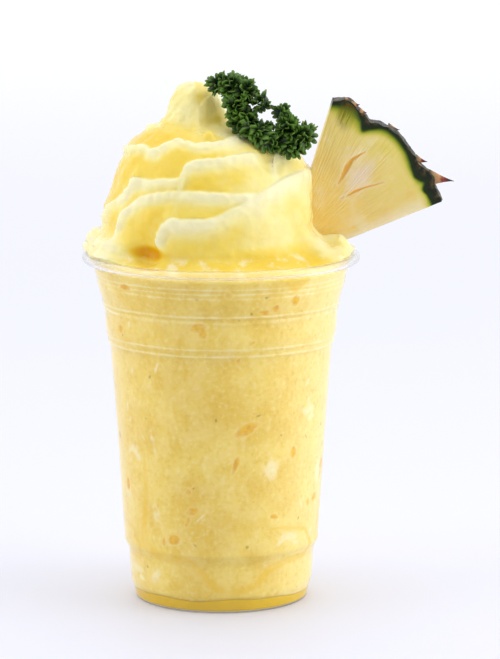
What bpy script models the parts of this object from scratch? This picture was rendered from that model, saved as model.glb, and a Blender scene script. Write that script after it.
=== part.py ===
# Pineapple smoothie in a clear takeaway cup, with a pineapple wedge and a parsley sprig.
# Lengths below are millimetres; MM turns them into Blender's metres.
# The cup stands on Z = 0 with its axis on Z. The wedge points to +X, and -Y is the front.

import math
import random

import bmesh
import bpy
import numpy as np
from mathutils import Matrix, Vector
from mathutils.bvhtree import BVHTree

MM = 0.001
SIDES = 50
GAP = 0.3

# Cup: outer radius at each height, from the foot to just under the rolled rim
CUP_HEIGHT = 123.5
WALL = 0.5
FLOOR_TOP = 1.5
FLOOR_RADIUS = 29.2
CUP_OUTER = (
    (0.4, 30.4),
    (2.4, 30.8),
    (8.3, 32.3),
    (17.8, 32.8),
    (21.0, 34.4),
    (57.7, 36.7),
    (90.4, 39.1),
    (97.6, 40.8),
    (105.0, 41.1),
    (112.0, 43.3),
    (116.0, 43.9),
    (119.6, 45.4),
)
FOOT_OUTER = 29.9
FOOT_INNER = 28.0
CHANNEL_OUTER = 27.4
CHANNEL_INNER = 13.0
PAD_RADIUS = 12.4
CHANNEL_RISE = 1.0
ROLL_RADIUS = 1.6
RIM_OUTER = 49.0
ROLL_ARC_STEP = 45

# Settled juice: a thin layer on the cup's floor, deeper at the front
JUICE_LEVEL = 3.6
JUICE_FRONT_RISE = 1.2
JUICE_RIPPLE = 0.35
JUICE_CORNER = 0.4
JUICE_WALL_FOOT = 2.7
MIDDLE_SHARE = 0.55

# Swirl: the envelope that its crests reach, as radius and height, foot to tip
SWIRL_ROWS = 33
SWIRL_ENVELOPE = (
    (37.6, 126.0),
    (36.6, 131.0),
    (36.7, 138.0),
    (35.5, 145.0),
    (34.0, 151.5),
    (31.2, 157.5),
    (26.6, 163.0),
    (19.6, 166.8),
    (13.2, 169.6),
    (10.6, 173.2),
    (9.0, 177.2),
    (6.6, 181.0),
    (3.0, 182.9),
    (0.0, 183.3),
)
# How far the swirl's middle stands to the side of the cup's axis, by height
SWIRL_LEAN = (
    (122.0, 0.0),
    (130.0, -4.4),
    (140.0, -4.4),
    (148.0, -3.0),
    (158.0, -3.0),
    (165.0, -5.0),
    (170.0, -8.0),
    (183.0, -9.2),
)
# Each fold's crest: azimuth from the front (plus is to the right) and height.
# A fold starts at its low left end, where its lip turns down, and climbs to the right.
FOLDS = {
    "front_apron": (
        (-31, 131.3),
        (-25, 136.8),
        (-11, 139.0),
        (0, 139.2),
        (12, 142.6),
        (25, 146.5),
        (44, 151.4),
        (62, 153.0),
        (90, 152.5),
        (130, 155.0),
        (180, 159.0),
    ),
    "front_left": (
        (-61, 132.5),
        (-56, 138.0),
        (-48, 143.2),
        (-37, 146.7),
        (-21, 148.6),
        (-3, 148.5),
        (19, 147.6),
        (74, 149.0),
        (120, 150.0),
    ),
    "front_upper": (
        (-20, 151.5),
        (-18, 155.4),
        (-13, 158.1),
        (-7, 158.9),
        (9, 159.6),
        (25, 160.8),
        (45, 158.5),
        (70, 157.0),
    ),
    "right_upper": ((38, 155.5), (46, 159.2), (56, 160.4), (73, 160.8), (110, 163.5), (170, 167.0)),
    "left_peak": (
        (-92, 129.0),
        (-84, 135.0),
        (-76, 139.3),
        (-67, 143.3),
        (-58, 146.7),
        (-52, 150.0),
        (-45, 151.6),
        (-37, 151.8),
        (-22, 152.8),
        (5, 153.0),
    ),
    "long_back": (
        (-272, 129.0),
        (-240, 139.0),
        (-180, 150.0),
        (-120, 157.5),
        (-90, 160.0),
        (-72, 161.3),
        (-55, 162.6),
        (-41, 161.8),
        (-34, 163.6),
        (-25, 165.1),
        (-7, 164.2),
        (12, 164.6),
        (30, 166.0),
        (60, 168.0),
    ),
    "left_middle": ((-230, 131.0), (-180, 138.5), (-130, 146.0), (-105, 150.0), (-84, 152.5)),
    "left_low": ((-170, 129.5), (-130, 134.5), (-100, 138.0), (-80, 140.5)),
    "back_upper": ((100, 146.0), (150, 154.0), (180, 158.0), (240, 165.5)),
    "left_top": ((-150, 164.5), (-110, 167.0), (-80, 168.6), (-60, 169.2), (-44, 168.6)),
    "tip_curl": ((-4, 171.6), (0, 174.0), (10, 175.6), (23, 177.4), (44, 178.8), (90, 180.5), (140, 181.5)),
    "tip_cap": ((-200, 183.3), (200, 183.3)),
}
LIP = 0.9
HOLLOW_DEPTH = 5.2
LEDGE_WIDTH = 4.2
FACE_DEPTH = 3.6
FACE_LENGTH = 10.5
END_WIDTH = 6.0
END_DROP = 9.0
START_WIDTH = 5.0
START_SHARE = 0.6
FADE_WIDTH = 28.0
STEEPEST = 1.6
SOFTNESS = 0.7
# How far a fold's face leans in, and how far its rounded end drops, where not the usual
FOLD_FACE = {
    "front_apron": 1.6,
    "front_upper": 2.6,
    "left_top": 2.4,
    "tip_curl": 1.5,
    "tip_cap": 1.2,
}
FOLD_END = {"tip_curl": 3.0, "right_upper": 4.0, "front_upper": 6.0}
# Folds keep their full size down to this radius, shrink above it and vanish at the tip
FULL_SIZE_RADIUS = 24.0
LEAST_SIZE = 0.3
TIP_LENGTH = 7.0
TIP_BLEND = 6.0
# Folds grow from nothing over this length at the swirl's foot, which a heap lifts a little
ROOT_LENGTH = 5.0
HEAP_LIFT = 1.8
PATH_STEPS = 400
PATH_MARGIN = 0.8
LEAST_RADIUS = 0.4

# Smoothie between the cup's wall and the swirl's foot: plain, and where it heaps on the rim.
# Rings wider than the lean limit stay round the cup's axis.
WALL_TOP = 118.4
LEAN_LIMIT = 41.5
SHOULDER_PLAIN = (
    (44.4, 120.0),
    (44.0, 121.2),
    (43.2, 122.3),
    (42.2, 123.1),
    (41.0, 123.8),
    (39.8, 124.5),
    (38.6, 125.2),
)
SHOULDER_HEAPED = (
    (44.7, 121.0),
    (45.5, 122.8),
    (46.6, 124.2),
    (49.4, 124.3),
    (49.9, 126.0),
    (47.8, 128.3),
    (43.4, 129.2),
)
# Heaps of smoothie on the rim: azimuth, half width in degrees, share of the full heap
HEAPS = (
    (-97, 24, 1.0),
    (-64, 13, 0.72),
    (-128, 13, 0.6),
    (72, 13, 0.75),
    (94, 14, 1.0),
    (122, 15, 0.6),
    (172, 22, 0.5),
)

# Pineapple wedge: a sector of a slice, seen face on from the front
WEDGE_APEX = Vector((21.4, 0.0, 118.9))
WEDGE_RADIUS = 61.0
WEDGE_LOW_ANGLE = 22.0
WEDGE_HIGH_ANGLE = 73.0
WEDGE_THICKNESS = 11.0
WEDGE_MIDDLE_Y = 2.4
RIND_STEP = 3.0
# Rind relief: angle, half width in degrees, height of each eye or notch
RIND_RELIEF = ((68, 6, 2.2), (58.5, 3.0, -1.3), (49, 8, 1.2), (37, 3, -0.8), (31, 4, 1.0))
# Dry spine of an eye near the wedge's low corner, a little above level
THORN_ROOT_ANGLE = 28.0
THORN_ROOT_DEPTH = 2.5
THORN_FORWARD = 2.0
THORN_LENGTH = 9.5
THORN_ROOT_RADIUS = 2.1
THORN_TIP_RADIUS = 0.15
THORN_SIDES = 6
THORN_TILT = 9.6

# Parsley: clusters of curled leaflets, each a centre, a radius and the cluster it grows from
CLUSTERS = {
    "low": ((16.0, -20.0, 165.0), 7.2, None),
    "right": ((27.0, -16.5, 167.0), 7.4, "low"),
    "inner": ((17.5, -15.0, 174.0), 6.0, "low"),
    "middle": ((9.0, -15.5, 172.0), 7.4, "low"),
    "high": ((8.0, -12.0, 181.5), 7.8, "middle"),
    "left": ((0.6, -11.0, 184.0), 5.0, "high"),
}
LEAFLETS_PER_CLUSTER = 3
LEAFLET_TURN = 2.4
LEAFLET_REACH = 0.62
LEAFLET_SIZES = (0.56, 0.68)
LEAFLET_THICKNESS = 0.8
LEAFLET_POINTS = 8
LEAFLET_LOBES = 3
LOBE_DEPTH = 0.22
RUFFLE_DEPTH = 0.34
RUFFLE_PHASE = 1.3
LEAFLET_CURL = 0.28
KNOT_SIDES = 12
KNOT_ROWS = 6
KNOT_SIZE = 0.62
KNOT_RUFFLE = 0.2
KNOT_WAVES = 4
KNOT_TWIST = 2.5
STEM_RADIUS = 0.9
BRANCH_RADIUS = 0.72
STEM_SIDES = 6
STEM_HOLE_RADIUS = 1.38
STEM_HOLE_PAST_HEAD = 6.0
STEM_ROOT = Vector((12.0, -13.0, 152.0))
STEM_HEAD = Vector((15.5, -18.5, 161.0))
LEAF_CLEARANCE = 0.9
CLEARING_PASSES = 4
SEED = 2

SHARP_ANGLE = 50.0
# Colours, as linear RGB
CLEAR_PLASTIC = (0.93, 0.95, 0.96)
SMOOTHIE_YELLOW = (0.93, 0.72, 0.22)
JUICE_YELLOW = (0.62, 0.44, 0.02)
FLESH_YELLOW = (0.88, 0.66, 0.22)
PARSLEY_GREEN = (0.03, 0.13, 0.02)


def clear_scene():
    """Remove what the file holds, so that only the part is in it."""
    for item in list(bpy.data.objects):
        bpy.data.objects.remove(item, do_unlink=True)


def make_collection(name):
    collection = bpy.data.collections.new(name)
    bpy.context.scene.collection.children.link(collection)
    return collection


def make_material(name, colour, roughness, alpha=1.0):
    material = bpy.data.materials.new(name)
    material.use_nodes = True
    shader = material.node_tree.nodes["Principled BSDF"]
    shader.inputs["Base Color"].default_value = (*colour, 1.0)
    shader.inputs["Roughness"].default_value = roughness
    shader.inputs["Metallic"].default_value = 0.0
    shader.inputs["Alpha"].default_value = alpha
    return material


def add_object(name, bm, collection, material):
    mesh = bpy.data.meshes.new(name)
    bm.to_mesh(mesh)
    bm.free()
    mesh.shade_smooth()
    mesh.set_sharp_from_angle(angle=math.radians(SHARP_ANGLE))
    mesh.materials.append(material)
    item = bpy.data.objects.new(name, mesh)
    collection.objects.link(item)
    return item


def apply_boolean(item, operation, cutter=None, collection=None, solver="EXACT"):
    """Cut or join, then keep the result as the object's own mesh."""
    modifier = item.modifiers.new("boolean", "BOOLEAN")
    modifier.operation = operation
    modifier.solver = solver
    if collection is None:
        modifier.object = cutter
    else:
        modifier.operand_type = "COLLECTION"
        modifier.collection = collection
    bpy.context.view_layer.update()
    evaluated = item.evaluated_get(bpy.context.evaluated_depsgraph_get())
    mesh = bpy.data.meshes.new_from_object(evaluated)
    item.modifiers.clear()
    item.data = mesh


def keep_main_body(item):
    """Fill the hollows that fusing sealed, and drop loose scraps: keep the largest shell."""
    bm = bmesh.new()
    bm.from_mesh(item.data)
    shells = []
    waiting = set(bm.faces)
    while waiting:
        shell = {waiting.pop()}
        front = list(shell)
        while front:
            face = front.pop()
            clean_edges = [edge for edge in face.edges if len(edge.link_faces) == 2]
            near = {other for edge in clean_edges for other in edge.link_faces} & waiting
            waiting -= near
            shell |= near
            front.extend(near)
        shells.append(shell)
    shells.sort(key=len)
    for shell in shells[:-1]:
        bmesh.ops.delete(bm, geom=list(shell), context="FACES")
    bm.to_mesh(item.data)
    bm.free()


def smoothstep(x):
    x = np.clip(x, 0.0, 1.0)
    return x * x * (3.0 - 2.0 * x)


def smooth_line(x, points):
    """A curve through the points, with the slope at each taken from its neighbours."""
    xs = np.array([p[0] for p in points], float)
    ys = np.array([p[1] for p in points], float)
    slopes = np.gradient(ys, xs)
    x = np.clip(x, xs[0], xs[-1])
    i = np.clip(np.searchsorted(xs, x) - 1, 0, len(xs) - 2)
    width = xs[i + 1] - xs[i]
    t = (x - xs[i]) / width
    rise = (2 * t**3 - 3 * t**2 + 1) * ys[i] + (3 * t**2 - 2 * t**3) * ys[i + 1]
    return rise + width * ((t**3 - 2 * t**2 + t) * slopes[i] + (t**3 - t**2) * slopes[i + 1])


def cup_outer_radius(height):
    return np.interp(height, [p[0] for p in CUP_OUTER], [p[1] for p in CUP_OUTER])


def fill_radius(height):
    """Radius of what fills the cup, a gap inside the wall."""
    return cup_outer_radius(height) - WALL - GAP


def cup_profile():
    """Half section of the cup: inner floor, inner wall, rolled rim, outer wall, underside."""
    roll_centre = (RIM_OUTER - ROLL_RADIUS, CUP_HEIGHT - ROLL_RADIUS)
    points = [(0.0, FLOOR_TOP), (FLOOR_RADIUS, FLOOR_TOP)]
    points += [(radius - WALL, height) for height, radius in CUP_OUTER[1:]]
    for degrees in range(180, -91, -ROLL_ARC_STEP):
        radius = roll_centre[0] + ROLL_RADIUS * math.cos(math.radians(degrees))
        height = roll_centre[1] + ROLL_RADIUS * math.sin(math.radians(degrees))
        points.append((radius, height))
    points += [(radius, height) for height, radius in reversed(CUP_OUTER)]
    points += [
        (FOOT_OUTER, 0.0),
        (FOOT_INNER, 0.0),
        (CHANNEL_OUTER, CHANNEL_RISE),
        (CHANNEL_INNER, CHANNEL_RISE),
        (PAD_RADIUS, 0.0),
        (0.0, 0.0),
    ]
    return points


def make_cup(collection):
    """A turned shell: one profile spun round the cup's axis."""
    bm = bmesh.new()
    last = None
    for radius, height in cup_profile():
        vertex = bm.verts.new((radius * MM, 0.0, height * MM))
        if last is not None:
            bm.edges.new((last, vertex))
        last = vertex
    cup = add_object("cup", bm, collection, make_material("clear_plastic", CLEAR_PLASTIC, 0.05, 0.35))
    screw = cup.modifiers.new("turn", "SCREW")
    screw.axis = "Z"
    screw.angle = math.tau
    screw.steps = SIDES
    screw.render_steps = SIDES
    screw.use_merge_vertices = True
    screw.merge_threshold = 0.00001
    screw.use_smooth_shade = True
    return cup


def ringed_body(name, rings, bottom, top, collection, material):
    """A closed body from a sphere: each of its rings is moved to a ring of points."""
    bm = bmesh.new()
    bmesh.ops.create_uvsphere(bm, u_segments=SIDES, v_segments=len(rings) + 1, radius=1.0)
    for vertex in bm.verts:
        row = round(math.acos(max(-1.0, min(1.0, -vertex.co.z))) / math.pi * (len(rings) + 1))
        if row == 0:
            vertex.co = Vector(bottom) * MM
        elif row == len(rings) + 1:
            vertex.co = Vector(top) * MM
        else:
            column = round(math.atan2(vertex.co.y, vertex.co.x) / math.tau * SIDES) % SIDES
            vertex.co = Vector(rings[row - 1][column].tolist()) * MM
    bmesh.ops.recalc_face_normals(bm, faces=bm.faces)
    bmesh.ops.triangulate(bm, faces=bm.faces, quad_method="ALTERNATE")
    return add_object(name, bm, collection, material)


ANGLES = np.arange(SIDES) * math.tau / SIDES
AZIMUTHS = (np.degrees(ANGLES) + 270.0) % 360.0 - 180.0


def ring(radius, height, centre_x=0.0):
    """One ring of points, whose radius and height may change round the ring."""
    points = np.empty((SIDES, 3))
    points[:, 0] = centre_x + radius * np.cos(ANGLES)
    points[:, 1] = radius * np.sin(ANGLES)
    points[:, 2] = height
    return points


def juice_top(share):
    """Height of the juice's wavy top at a share of the way out to the wall."""
    front = np.clip(np.cos(np.radians(AZIMUTHS)), 0.0, 1.0)
    ripple = np.sin(np.radians(AZIMUTHS) * 5.0)
    ripple = ripple + 0.6 * np.sin(np.radians(AZIMUTHS) * 9.0 + 1.0)
    return JUICE_LEVEL + share * (JUICE_FRONT_RISE * front + JUICE_RIPPLE * ripple)


def make_juice(collection):
    level = FLOOR_TOP + GAP
    corner = FLOOR_RADIUS - GAP
    rings = [ring(corner * MIDDLE_SHARE, level), ring(corner - JUICE_CORNER, level)]
    rings.append(ring(fill_radius(JUICE_WALL_FOOT), JUICE_WALL_FOOT))
    rings.append(ring(fill_radius(juice_top(1.0)), juice_top(1.0)))
    rings.append(ring(fill_radius(JUICE_LEVEL) * MIDDLE_SHARE, juice_top(MIDDLE_SHARE)))
    material = make_material("settled_juice", JUICE_YELLOW, 0.1)
    return ringed_body("settled_juice", rings, (0, 0, level), (0, 0, JUICE_LEVEL), collection, material)


def envelope_path(count):
    """Points, outward normals and lengths along the swirl's envelope, evenly spaced."""
    envelope = np.array(SWIRL_ENVELOPE)
    rough = np.concatenate(([0.0], np.cumsum(np.hypot(*np.diff(envelope, axis=0).T))))
    along = np.linspace(0.0, rough[-1], count)
    radius = np.maximum(smooth_line(along, list(zip(rough, envelope[:, 0]))), 0.0)
    height = smooth_line(along, list(zip(rough, envelope[:, 1])))
    tangent = np.stack([np.gradient(radius, along), np.gradient(height, along)], axis=1)
    tangent /= np.linalg.norm(tangent, axis=1)[:, None]
    normal = np.stack([tangent[:, 1], -tangent[:, 0]], axis=1)
    return along, radius, height, normal


def crest_line(name, azimuth, path):
    """How far along the envelope a fold's crest lies, with a rounded end at its start."""
    lengths, _, heights, _ = path
    points = FOLDS[name]
    line = np.interp(smooth_line(azimuth, points), heights, lengths)
    inside_end = np.clip((points[0][0] + END_WIDTH - azimuth) / END_WIDTH, 0.0, 1.0)
    return line - FOLD_END.get(name, END_DROP) * (1.0 - np.sqrt(1.0 - inside_end**2))


def fold_offset(name, azimuth, along, path):
    """How far a fold stands out of the envelope, or in from it, at a point."""
    lengths, radii, _, _ = path
    first, last = FOLDS[name][0][0], FOLDS[name][-1][0]
    best = np.full_like(along, -HOLLOW_DEPTH)
    for whole_turn in (-360.0, 0.0, 360.0):
        angle = azimuth + whole_turn
        arc = np.maximum(np.interp(along, lengths, radii), 4.0) * math.radians(1.0)
        slope = (crest_line(name, angle + 0.5, path) - crest_line(name, angle - 0.5, path)) / arc
        slope = np.clip(slope, -STEEPEST, STEEPEST)
        distance = (along - crest_line(name, angle, path)) / np.sqrt(1.0 + slope**2)
        above = LIP - (LIP + HOLLOW_DEPTH) * smoothstep(distance / LEDGE_WIDTH)
        face = FOLD_FACE.get(name, FACE_DEPTH)
        below = LIP - (LIP + face) * smoothstep(-distance / FACE_LENGTH)
        stands = np.where(distance > 0.0, above, below)
        share = smoothstep((last - angle) / FADE_WIDTH)
        share = share * smoothstep((angle - first) / START_WIDTH + START_SHARE)
        best = np.maximum(best, share * stands - (1.0 - share) * HOLLOW_DEPTH)
    return best


def swirl_offset(azimuth, along, path):
    """All folds together, joined softly where they meet."""
    total = np.exp(np.full_like(along, -HOLLOW_DEPTH) / SOFTNESS)
    for name in FOLDS:
        total = total + np.exp(fold_offset(name, azimuth, along, path) / SOFTNESS)
    lengths, radii, _, _ = path
    size = np.clip(np.interp(along, lengths, radii) / FULL_SIZE_RADIUS, LEAST_SIZE, 1.0)
    tip = 1.0 - smoothstep((along - lengths[-1] + TIP_LENGTH) / TIP_BLEND)
    return SOFTNESS * np.log(total) * size * tip


def lean(height):
    """How far the swirl's middle stands to the side at a height."""
    return np.interp(height, [p[0] for p in SWIRL_LEAN], [p[1] for p in SWIRL_LEAN])


def heap_share():
    """How much smoothie lies on the rim at each azimuth, from 0 to 1."""
    share = np.zeros(SIDES)
    for centre, half_width, full in HEAPS:
        away = np.abs((AZIMUTHS - centre + 180.0) % 360.0 - 180.0)
        share = np.maximum(share, full * smoothstep(1.25 - away / half_width))
    return share


def smoothie_rings():
    """Rings of the smoothie: underside, inside of the cup, shoulder and swirl."""
    low = juice_top(1.0) + GAP
    rings = [ring(fill_radius(JUICE_LEVEL) * MIDDLE_SHARE, juice_top(MIDDLE_SHARE) + GAP)]
    rings.append(ring(fill_radius(low), low))
    for height, _ in CUP_OUTER[2:-1]:
        rings.append(ring(fill_radius(height), height))
    rings.append(ring(fill_radius(WALL_TOP), WALL_TOP))

    share = heap_share()
    for plain, heaped in zip(SHOULDER_PLAIN, SHOULDER_HEAPED):
        radius = plain[0] + share * (heaped[0] - plain[0])
        height = plain[1] + share * (heaped[1] - plain[1])
        rings.append(ring(radius, height, np.where(radius < LEAN_LIMIT, lean(height), 0.0)))

    path = envelope_path(PATH_STEPS)
    lengths, radii, heights, normals = path
    for along in np.linspace(PATH_MARGIN, lengths[-1] - PATH_MARGIN, SWIRL_ROWS):
        root = smoothstep(along / ROOT_LENGTH)
        move = root * swirl_offset(AZIMUTHS, np.full(SIDES, along), path)
        radius = np.interp(along, lengths, radii) + move * np.interp(along, lengths, normals[:, 0])
        height = np.interp(along, lengths, heights) + move * np.interp(along, lengths, normals[:, 1])
        height = height + (1.0 - root) * share * HEAP_LIFT
        rings.append(ring(np.maximum(radius, LEAST_RADIUS), height, lean(height)))
    return rings


def make_smoothie(collection):
    material = make_material("smoothie", SMOOTHIE_YELLOW, 0.25)
    bottom = (0.0, 0.0, JUICE_LEVEL + GAP)
    top = (SWIRL_LEAN[-1][1], 0.0, SWIRL_ENVELOPE[-1][1])
    return ringed_body("smoothie", smoothie_rings(), bottom, top, collection, material)


def rind_radius(degrees):
    """Distance of the rind's skin from the wedge's apex, with its eyes and notches."""
    radius = WEDGE_RADIUS
    for centre, half_width, height in RIND_RELIEF:
        radius += height * float(smoothstep(1.0 - abs(degrees - centre) / half_width))
    return radius


def wedge_outline(grow=0.0):
    """The sector's outline in X and Z, grown all round by a gap where asked."""
    apex_shift = grow / math.sin(math.radians((WEDGE_HIGH_ANGLE - WEDGE_LOW_ANGLE) / 2.0))
    middle = math.radians((WEDGE_HIGH_ANGLE + WEDGE_LOW_ANGLE) / 2.0)
    x0 = WEDGE_APEX.x - apex_shift * math.cos(middle)
    z0 = WEDGE_APEX.z - apex_shift * math.sin(middle)
    points = [(x0, z0)]
    steps = round((WEDGE_HIGH_ANGLE - WEDGE_LOW_ANGLE) / RIND_STEP)
    for i in range(steps + 1):
        degrees = WEDGE_LOW_ANGLE + (WEDGE_HIGH_ANGLE - WEDGE_LOW_ANGLE) * i / steps
        angle = math.radians(degrees)
        reach = rind_radius(degrees) + grow + apex_shift
        points.append((x0 + reach * math.cos(angle), z0 + reach * math.sin(angle)))
    return points


def extruded_outline(name, points, thickness, middle_y, collection, material):
    """A flat filled curve with thickness, turned into a welded mesh that faces the front."""
    curve = bpy.data.curves.new(name, "CURVE")
    curve.dimensions = "2D"
    curve.fill_mode = "BOTH"
    curve.extrude = thickness * MM / 2.0
    spline = curve.splines.new("POLY")
    spline.points.add(len(points) - 1)
    for point, (x, z) in zip(spline.points, points):
        point.co = (x * MM, z * MM, 0.0, 1.0)
    spline.use_cyclic_u = True
    flat = bpy.data.objects.new(name + "_outline", curve)
    collection.objects.link(flat)
    bpy.context.view_layer.update()
    evaluated = flat.evaluated_get(bpy.context.evaluated_depsgraph_get())
    mesh = bpy.data.meshes.new_from_object(evaluated)
    bpy.data.objects.remove(flat, do_unlink=True)
    bm = bmesh.new()
    bm.from_mesh(mesh)
    bmesh.ops.remove_doubles(bm, verts=bm.verts, dist=0.00001)
    stand_up = Matrix.Translation((0.0, middle_y * MM, 0.0)) @ Matrix.Rotation(math.pi / 2.0, 4, "X")
    bmesh.ops.transform(bm, matrix=stand_up, verts=bm.verts)
    bmesh.ops.recalc_face_normals(bm, faces=bm.faces)
    return add_object(name, bm, collection, material)


def make_thorn(collection, material):
    """The dry spine of a pineapple's eye, rooted in the rind."""
    angle = math.radians(THORN_ROOT_ANGLE)
    reach = WEDGE_RADIUS - THORN_ROOT_DEPTH
    root = WEDGE_APEX + Vector((reach * math.cos(angle), 0.0, reach * math.sin(angle)))
    root.y = WEDGE_MIDDLE_Y - THORN_FORWARD
    bm = bmesh.new()
    bmesh.ops.create_cone(
        bm,
        cap_ends=True,
        segments=THORN_SIDES,
        radius1=THORN_ROOT_RADIUS * MM,
        radius2=THORN_TIP_RADIUS * MM,
        depth=THORN_LENGTH * MM,
    )
    bmesh.ops.translate(bm, vec=(0.0, 0.0, THORN_LENGTH * MM / 2.0), verts=bm.verts)
    turn = Matrix.Rotation(math.radians(90.0 - THORN_TILT), 4, "Y")
    bmesh.ops.transform(bm, matrix=Matrix.Translation(root * MM) @ turn, verts=bm.verts)
    return add_object("thorn_shape", bm, collection, material)


def make_wedge(collection, cutters):
    material = make_material("pineapple_flesh", FLESH_YELLOW, 0.35)
    wedge = extruded_outline(
        "pineapple_wedge", wedge_outline(), WEDGE_THICKNESS, WEDGE_MIDDLE_Y, collection, material
    )
    thorn = make_thorn(cutters, material)
    apply_boolean(wedge, "UNION", cutter=thorn)
    bpy.data.objects.remove(thorn, do_unlink=True)
    return wedge


def keep_outside(bm, tree, clearance):
    """Move a leaf that would sink into the smoothie out of it, by its deepest point."""
    for _ in range(CLEARING_PASSES):
        needed, way = 0.0, Vector()
        for vertex in bm.verts:
            nearest, normal, _, _ = tree.find_nearest(vertex.co)
            short = clearance * MM - (vertex.co - nearest).dot(normal)
            if short > needed:
                needed, way = short, normal.copy()
        bmesh.ops.translate(bm, vec=way * needed, verts=bm.verts)


def make_knot(index, centre, radius, tree, collection, material):
    """The crowded middle of a cluster: a ball whose surface is deeply ruffled."""
    bm = bmesh.new()
    bmesh.ops.create_uvsphere(bm, u_segments=KNOT_SIDES, v_segments=KNOT_ROWS, radius=1.0)
    for vertex in bm.verts:
        x, y, z = vertex.co
        around = math.sqrt(max(0.0, 1.0 - z * z))
        ruffle = around * math.sin(KNOT_WAVES * math.atan2(y, x) + KNOT_TWIST * z + index)
        reach = radius * (KNOT_SIZE + KNOT_RUFFLE * ruffle)
        vertex.co = (centre + vertex.co * reach) * MM
    keep_outside(bm, tree, LEAF_CLEARANCE)
    add_object(f"knot_{index}", bm, collection, material)


def make_leaflet(index, centre, facing, size, spin, tree, collection, material):
    """A curled leaflet: a disc whose edge is ruffled, given its thickness by Solidify."""
    bm = bmesh.new()
    bmesh.ops.create_circle(bm, cap_ends=True, cap_tris=True, segments=LEAFLET_POINTS, radius=1.0)
    for vertex in bm.verts:
        angle = math.atan2(vertex.co.y, vertex.co.x)
        edge = min(1.0, vertex.co.length)
        wave = LEAFLET_LOBES * angle + spin
        reach = size * (1.0 + LOBE_DEPTH * math.sin(wave))
        ruffle = edge * size * (RUFFLE_DEPTH * math.sin(wave + RUFFLE_PHASE) - LEAFLET_CURL)
        vertex.co = Vector((vertex.co.x * reach, vertex.co.y * reach, ruffle)) * MM
    turn = facing.to_track_quat("Z", "Y").to_matrix().to_4x4() @ Matrix.Rotation(spin, 4, "Z")
    bmesh.ops.transform(bm, matrix=Matrix.Translation(centre * MM) @ turn, verts=bm.verts)
    keep_outside(bm, tree, LEAF_CLEARANCE + LEAFLET_THICKNESS)
    leaf = add_object(f"leaflet_{index}", bm, collection, material)
    solidify = leaf.modifiers.new("thickness", "SOLIDIFY")
    solidify.thickness = LEAFLET_THICKNESS * MM
    solidify.offset = 0.0
    return leaf


def make_rod(name, start, end, radius, sides, collection, material):
    """A straight round bar between two points."""
    span = end - start
    bm = bmesh.new()
    bmesh.ops.create_cone(
        bm, cap_ends=True, segments=sides, radius1=radius * MM, radius2=radius * MM, depth=span.length * MM
    )
    turn = span.to_track_quat("Z", "Y").to_matrix().to_4x4()
    place = Matrix.Translation((start + end) * 0.5 * MM)
    bmesh.ops.transform(bm, matrix=place @ turn, verts=bm.verts)
    return add_object(name, bm, collection, material)


def make_parsley(collection, smoothie):
    """Stems, a knot at the middle of each cluster, and leaflets round the knots, all fused."""
    material = make_material("parsley", PARSLEY_GREEN, 0.45)
    tree = BVHTree.FromObject(smoothie, bpy.context.evaluated_depsgraph_get())
    draw = random.Random(SEED)
    pieces = make_collection("parsley_pieces")
    for index, (centre, radius, parent) in enumerate(CLUSTERS.values()):
        centre = Vector(centre)
        start = STEM_HEAD if parent is None else Vector(CLUSTERS[parent][0])
        make_rod(f"branch_{index}", start, centre, BRANCH_RADIUS, STEM_SIDES, pieces, material)
        for leaf in range(LEAFLETS_PER_CLUSTER):
            up = 1.0 - 2.0 * (leaf + 0.5) / LEAFLETS_PER_CLUSTER
            turn = leaf * LEAFLET_TURN + index
            around = math.sqrt(1.0 - up * up)
            facing = Vector((around * math.cos(turn), around * math.sin(turn), up))
            place = centre + facing * radius * LEAFLET_REACH
            size = radius * draw.uniform(*LEAFLET_SIZES)
            label = index * LEAFLETS_PER_CLUSTER + leaf
            make_leaflet(label, place, facing, size, draw.uniform(0.0, math.tau), tree, pieces, material)
        make_knot(index, centre, radius, tree, pieces, material)
    sprig = make_rod("parsley_sprig", STEM_ROOT, STEM_HEAD, STEM_RADIUS, STEM_SIDES, collection, material)
    apply_boolean(sprig, "UNION", collection=pieces, solver="EXACT")
    for piece in list(pieces.objects):
        bpy.data.objects.remove(piece, do_unlink=True)
    bpy.data.collections.remove(pieces)
    keep_main_body(sprig)
    return sprig


def cut_round_garnishes(smoothie, cutters):
    """The smoothie closes round the wedge and the sprig's stem, a gap away from each."""
    material = smoothie.data.materials[0]
    slot = extruded_outline(
        "wedge_slot", wedge_outline(GAP), WEDGE_THICKNESS + 2.0 * GAP, WEDGE_MIDDLE_Y, cutters, material
    )
    along = (STEM_HEAD - STEM_ROOT).normalized()
    hole_root = STEM_ROOT - along * GAP
    hole_head = STEM_HEAD + along * STEM_HOLE_PAST_HEAD
    hole = make_rod("stem_hole", hole_root, hole_head, STEM_HOLE_RADIUS, STEM_SIDES, cutters, material)
    for cutter in (slot, hole):
        cutter.hide_render = True
        cutter.display_type = "WIRE"
        apply_boolean(smoothie, "DIFFERENCE", cutter=cutter)


def main():
    clear_scene()
    collection = make_collection("pineapple_smoothie")
    cutters = make_collection("cutters")
    make_cup(collection)
    make_juice(collection)
    smoothie = make_smoothie(collection)
    make_wedge(collection, cutters)
    make_parsley(collection, smoothie)
    cut_round_garnishes(smoothie, cutters)


main()
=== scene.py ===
# %% [markdown]
# # Dressing a pineapple smoothie for its picture
#
# The drink is a clear takeaway cup, filled to its rim and piled high in a soft swirl, with a
# pineapple wedge and a sprig of curly parsley pushed into it. The frame below holds its plain
# solids at their real size. This lesson makes the fine surfaces over them, one piece at a time:
# the cup, the smoothie, the juice at its foot, the wedge, its rind, and the parsley.

# %% Load the frame
import math
import random

import bpy
import numpy as np
from mathutils import Matrix, Vector, noise
from mathutils.bvhtree import BVHTree


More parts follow.
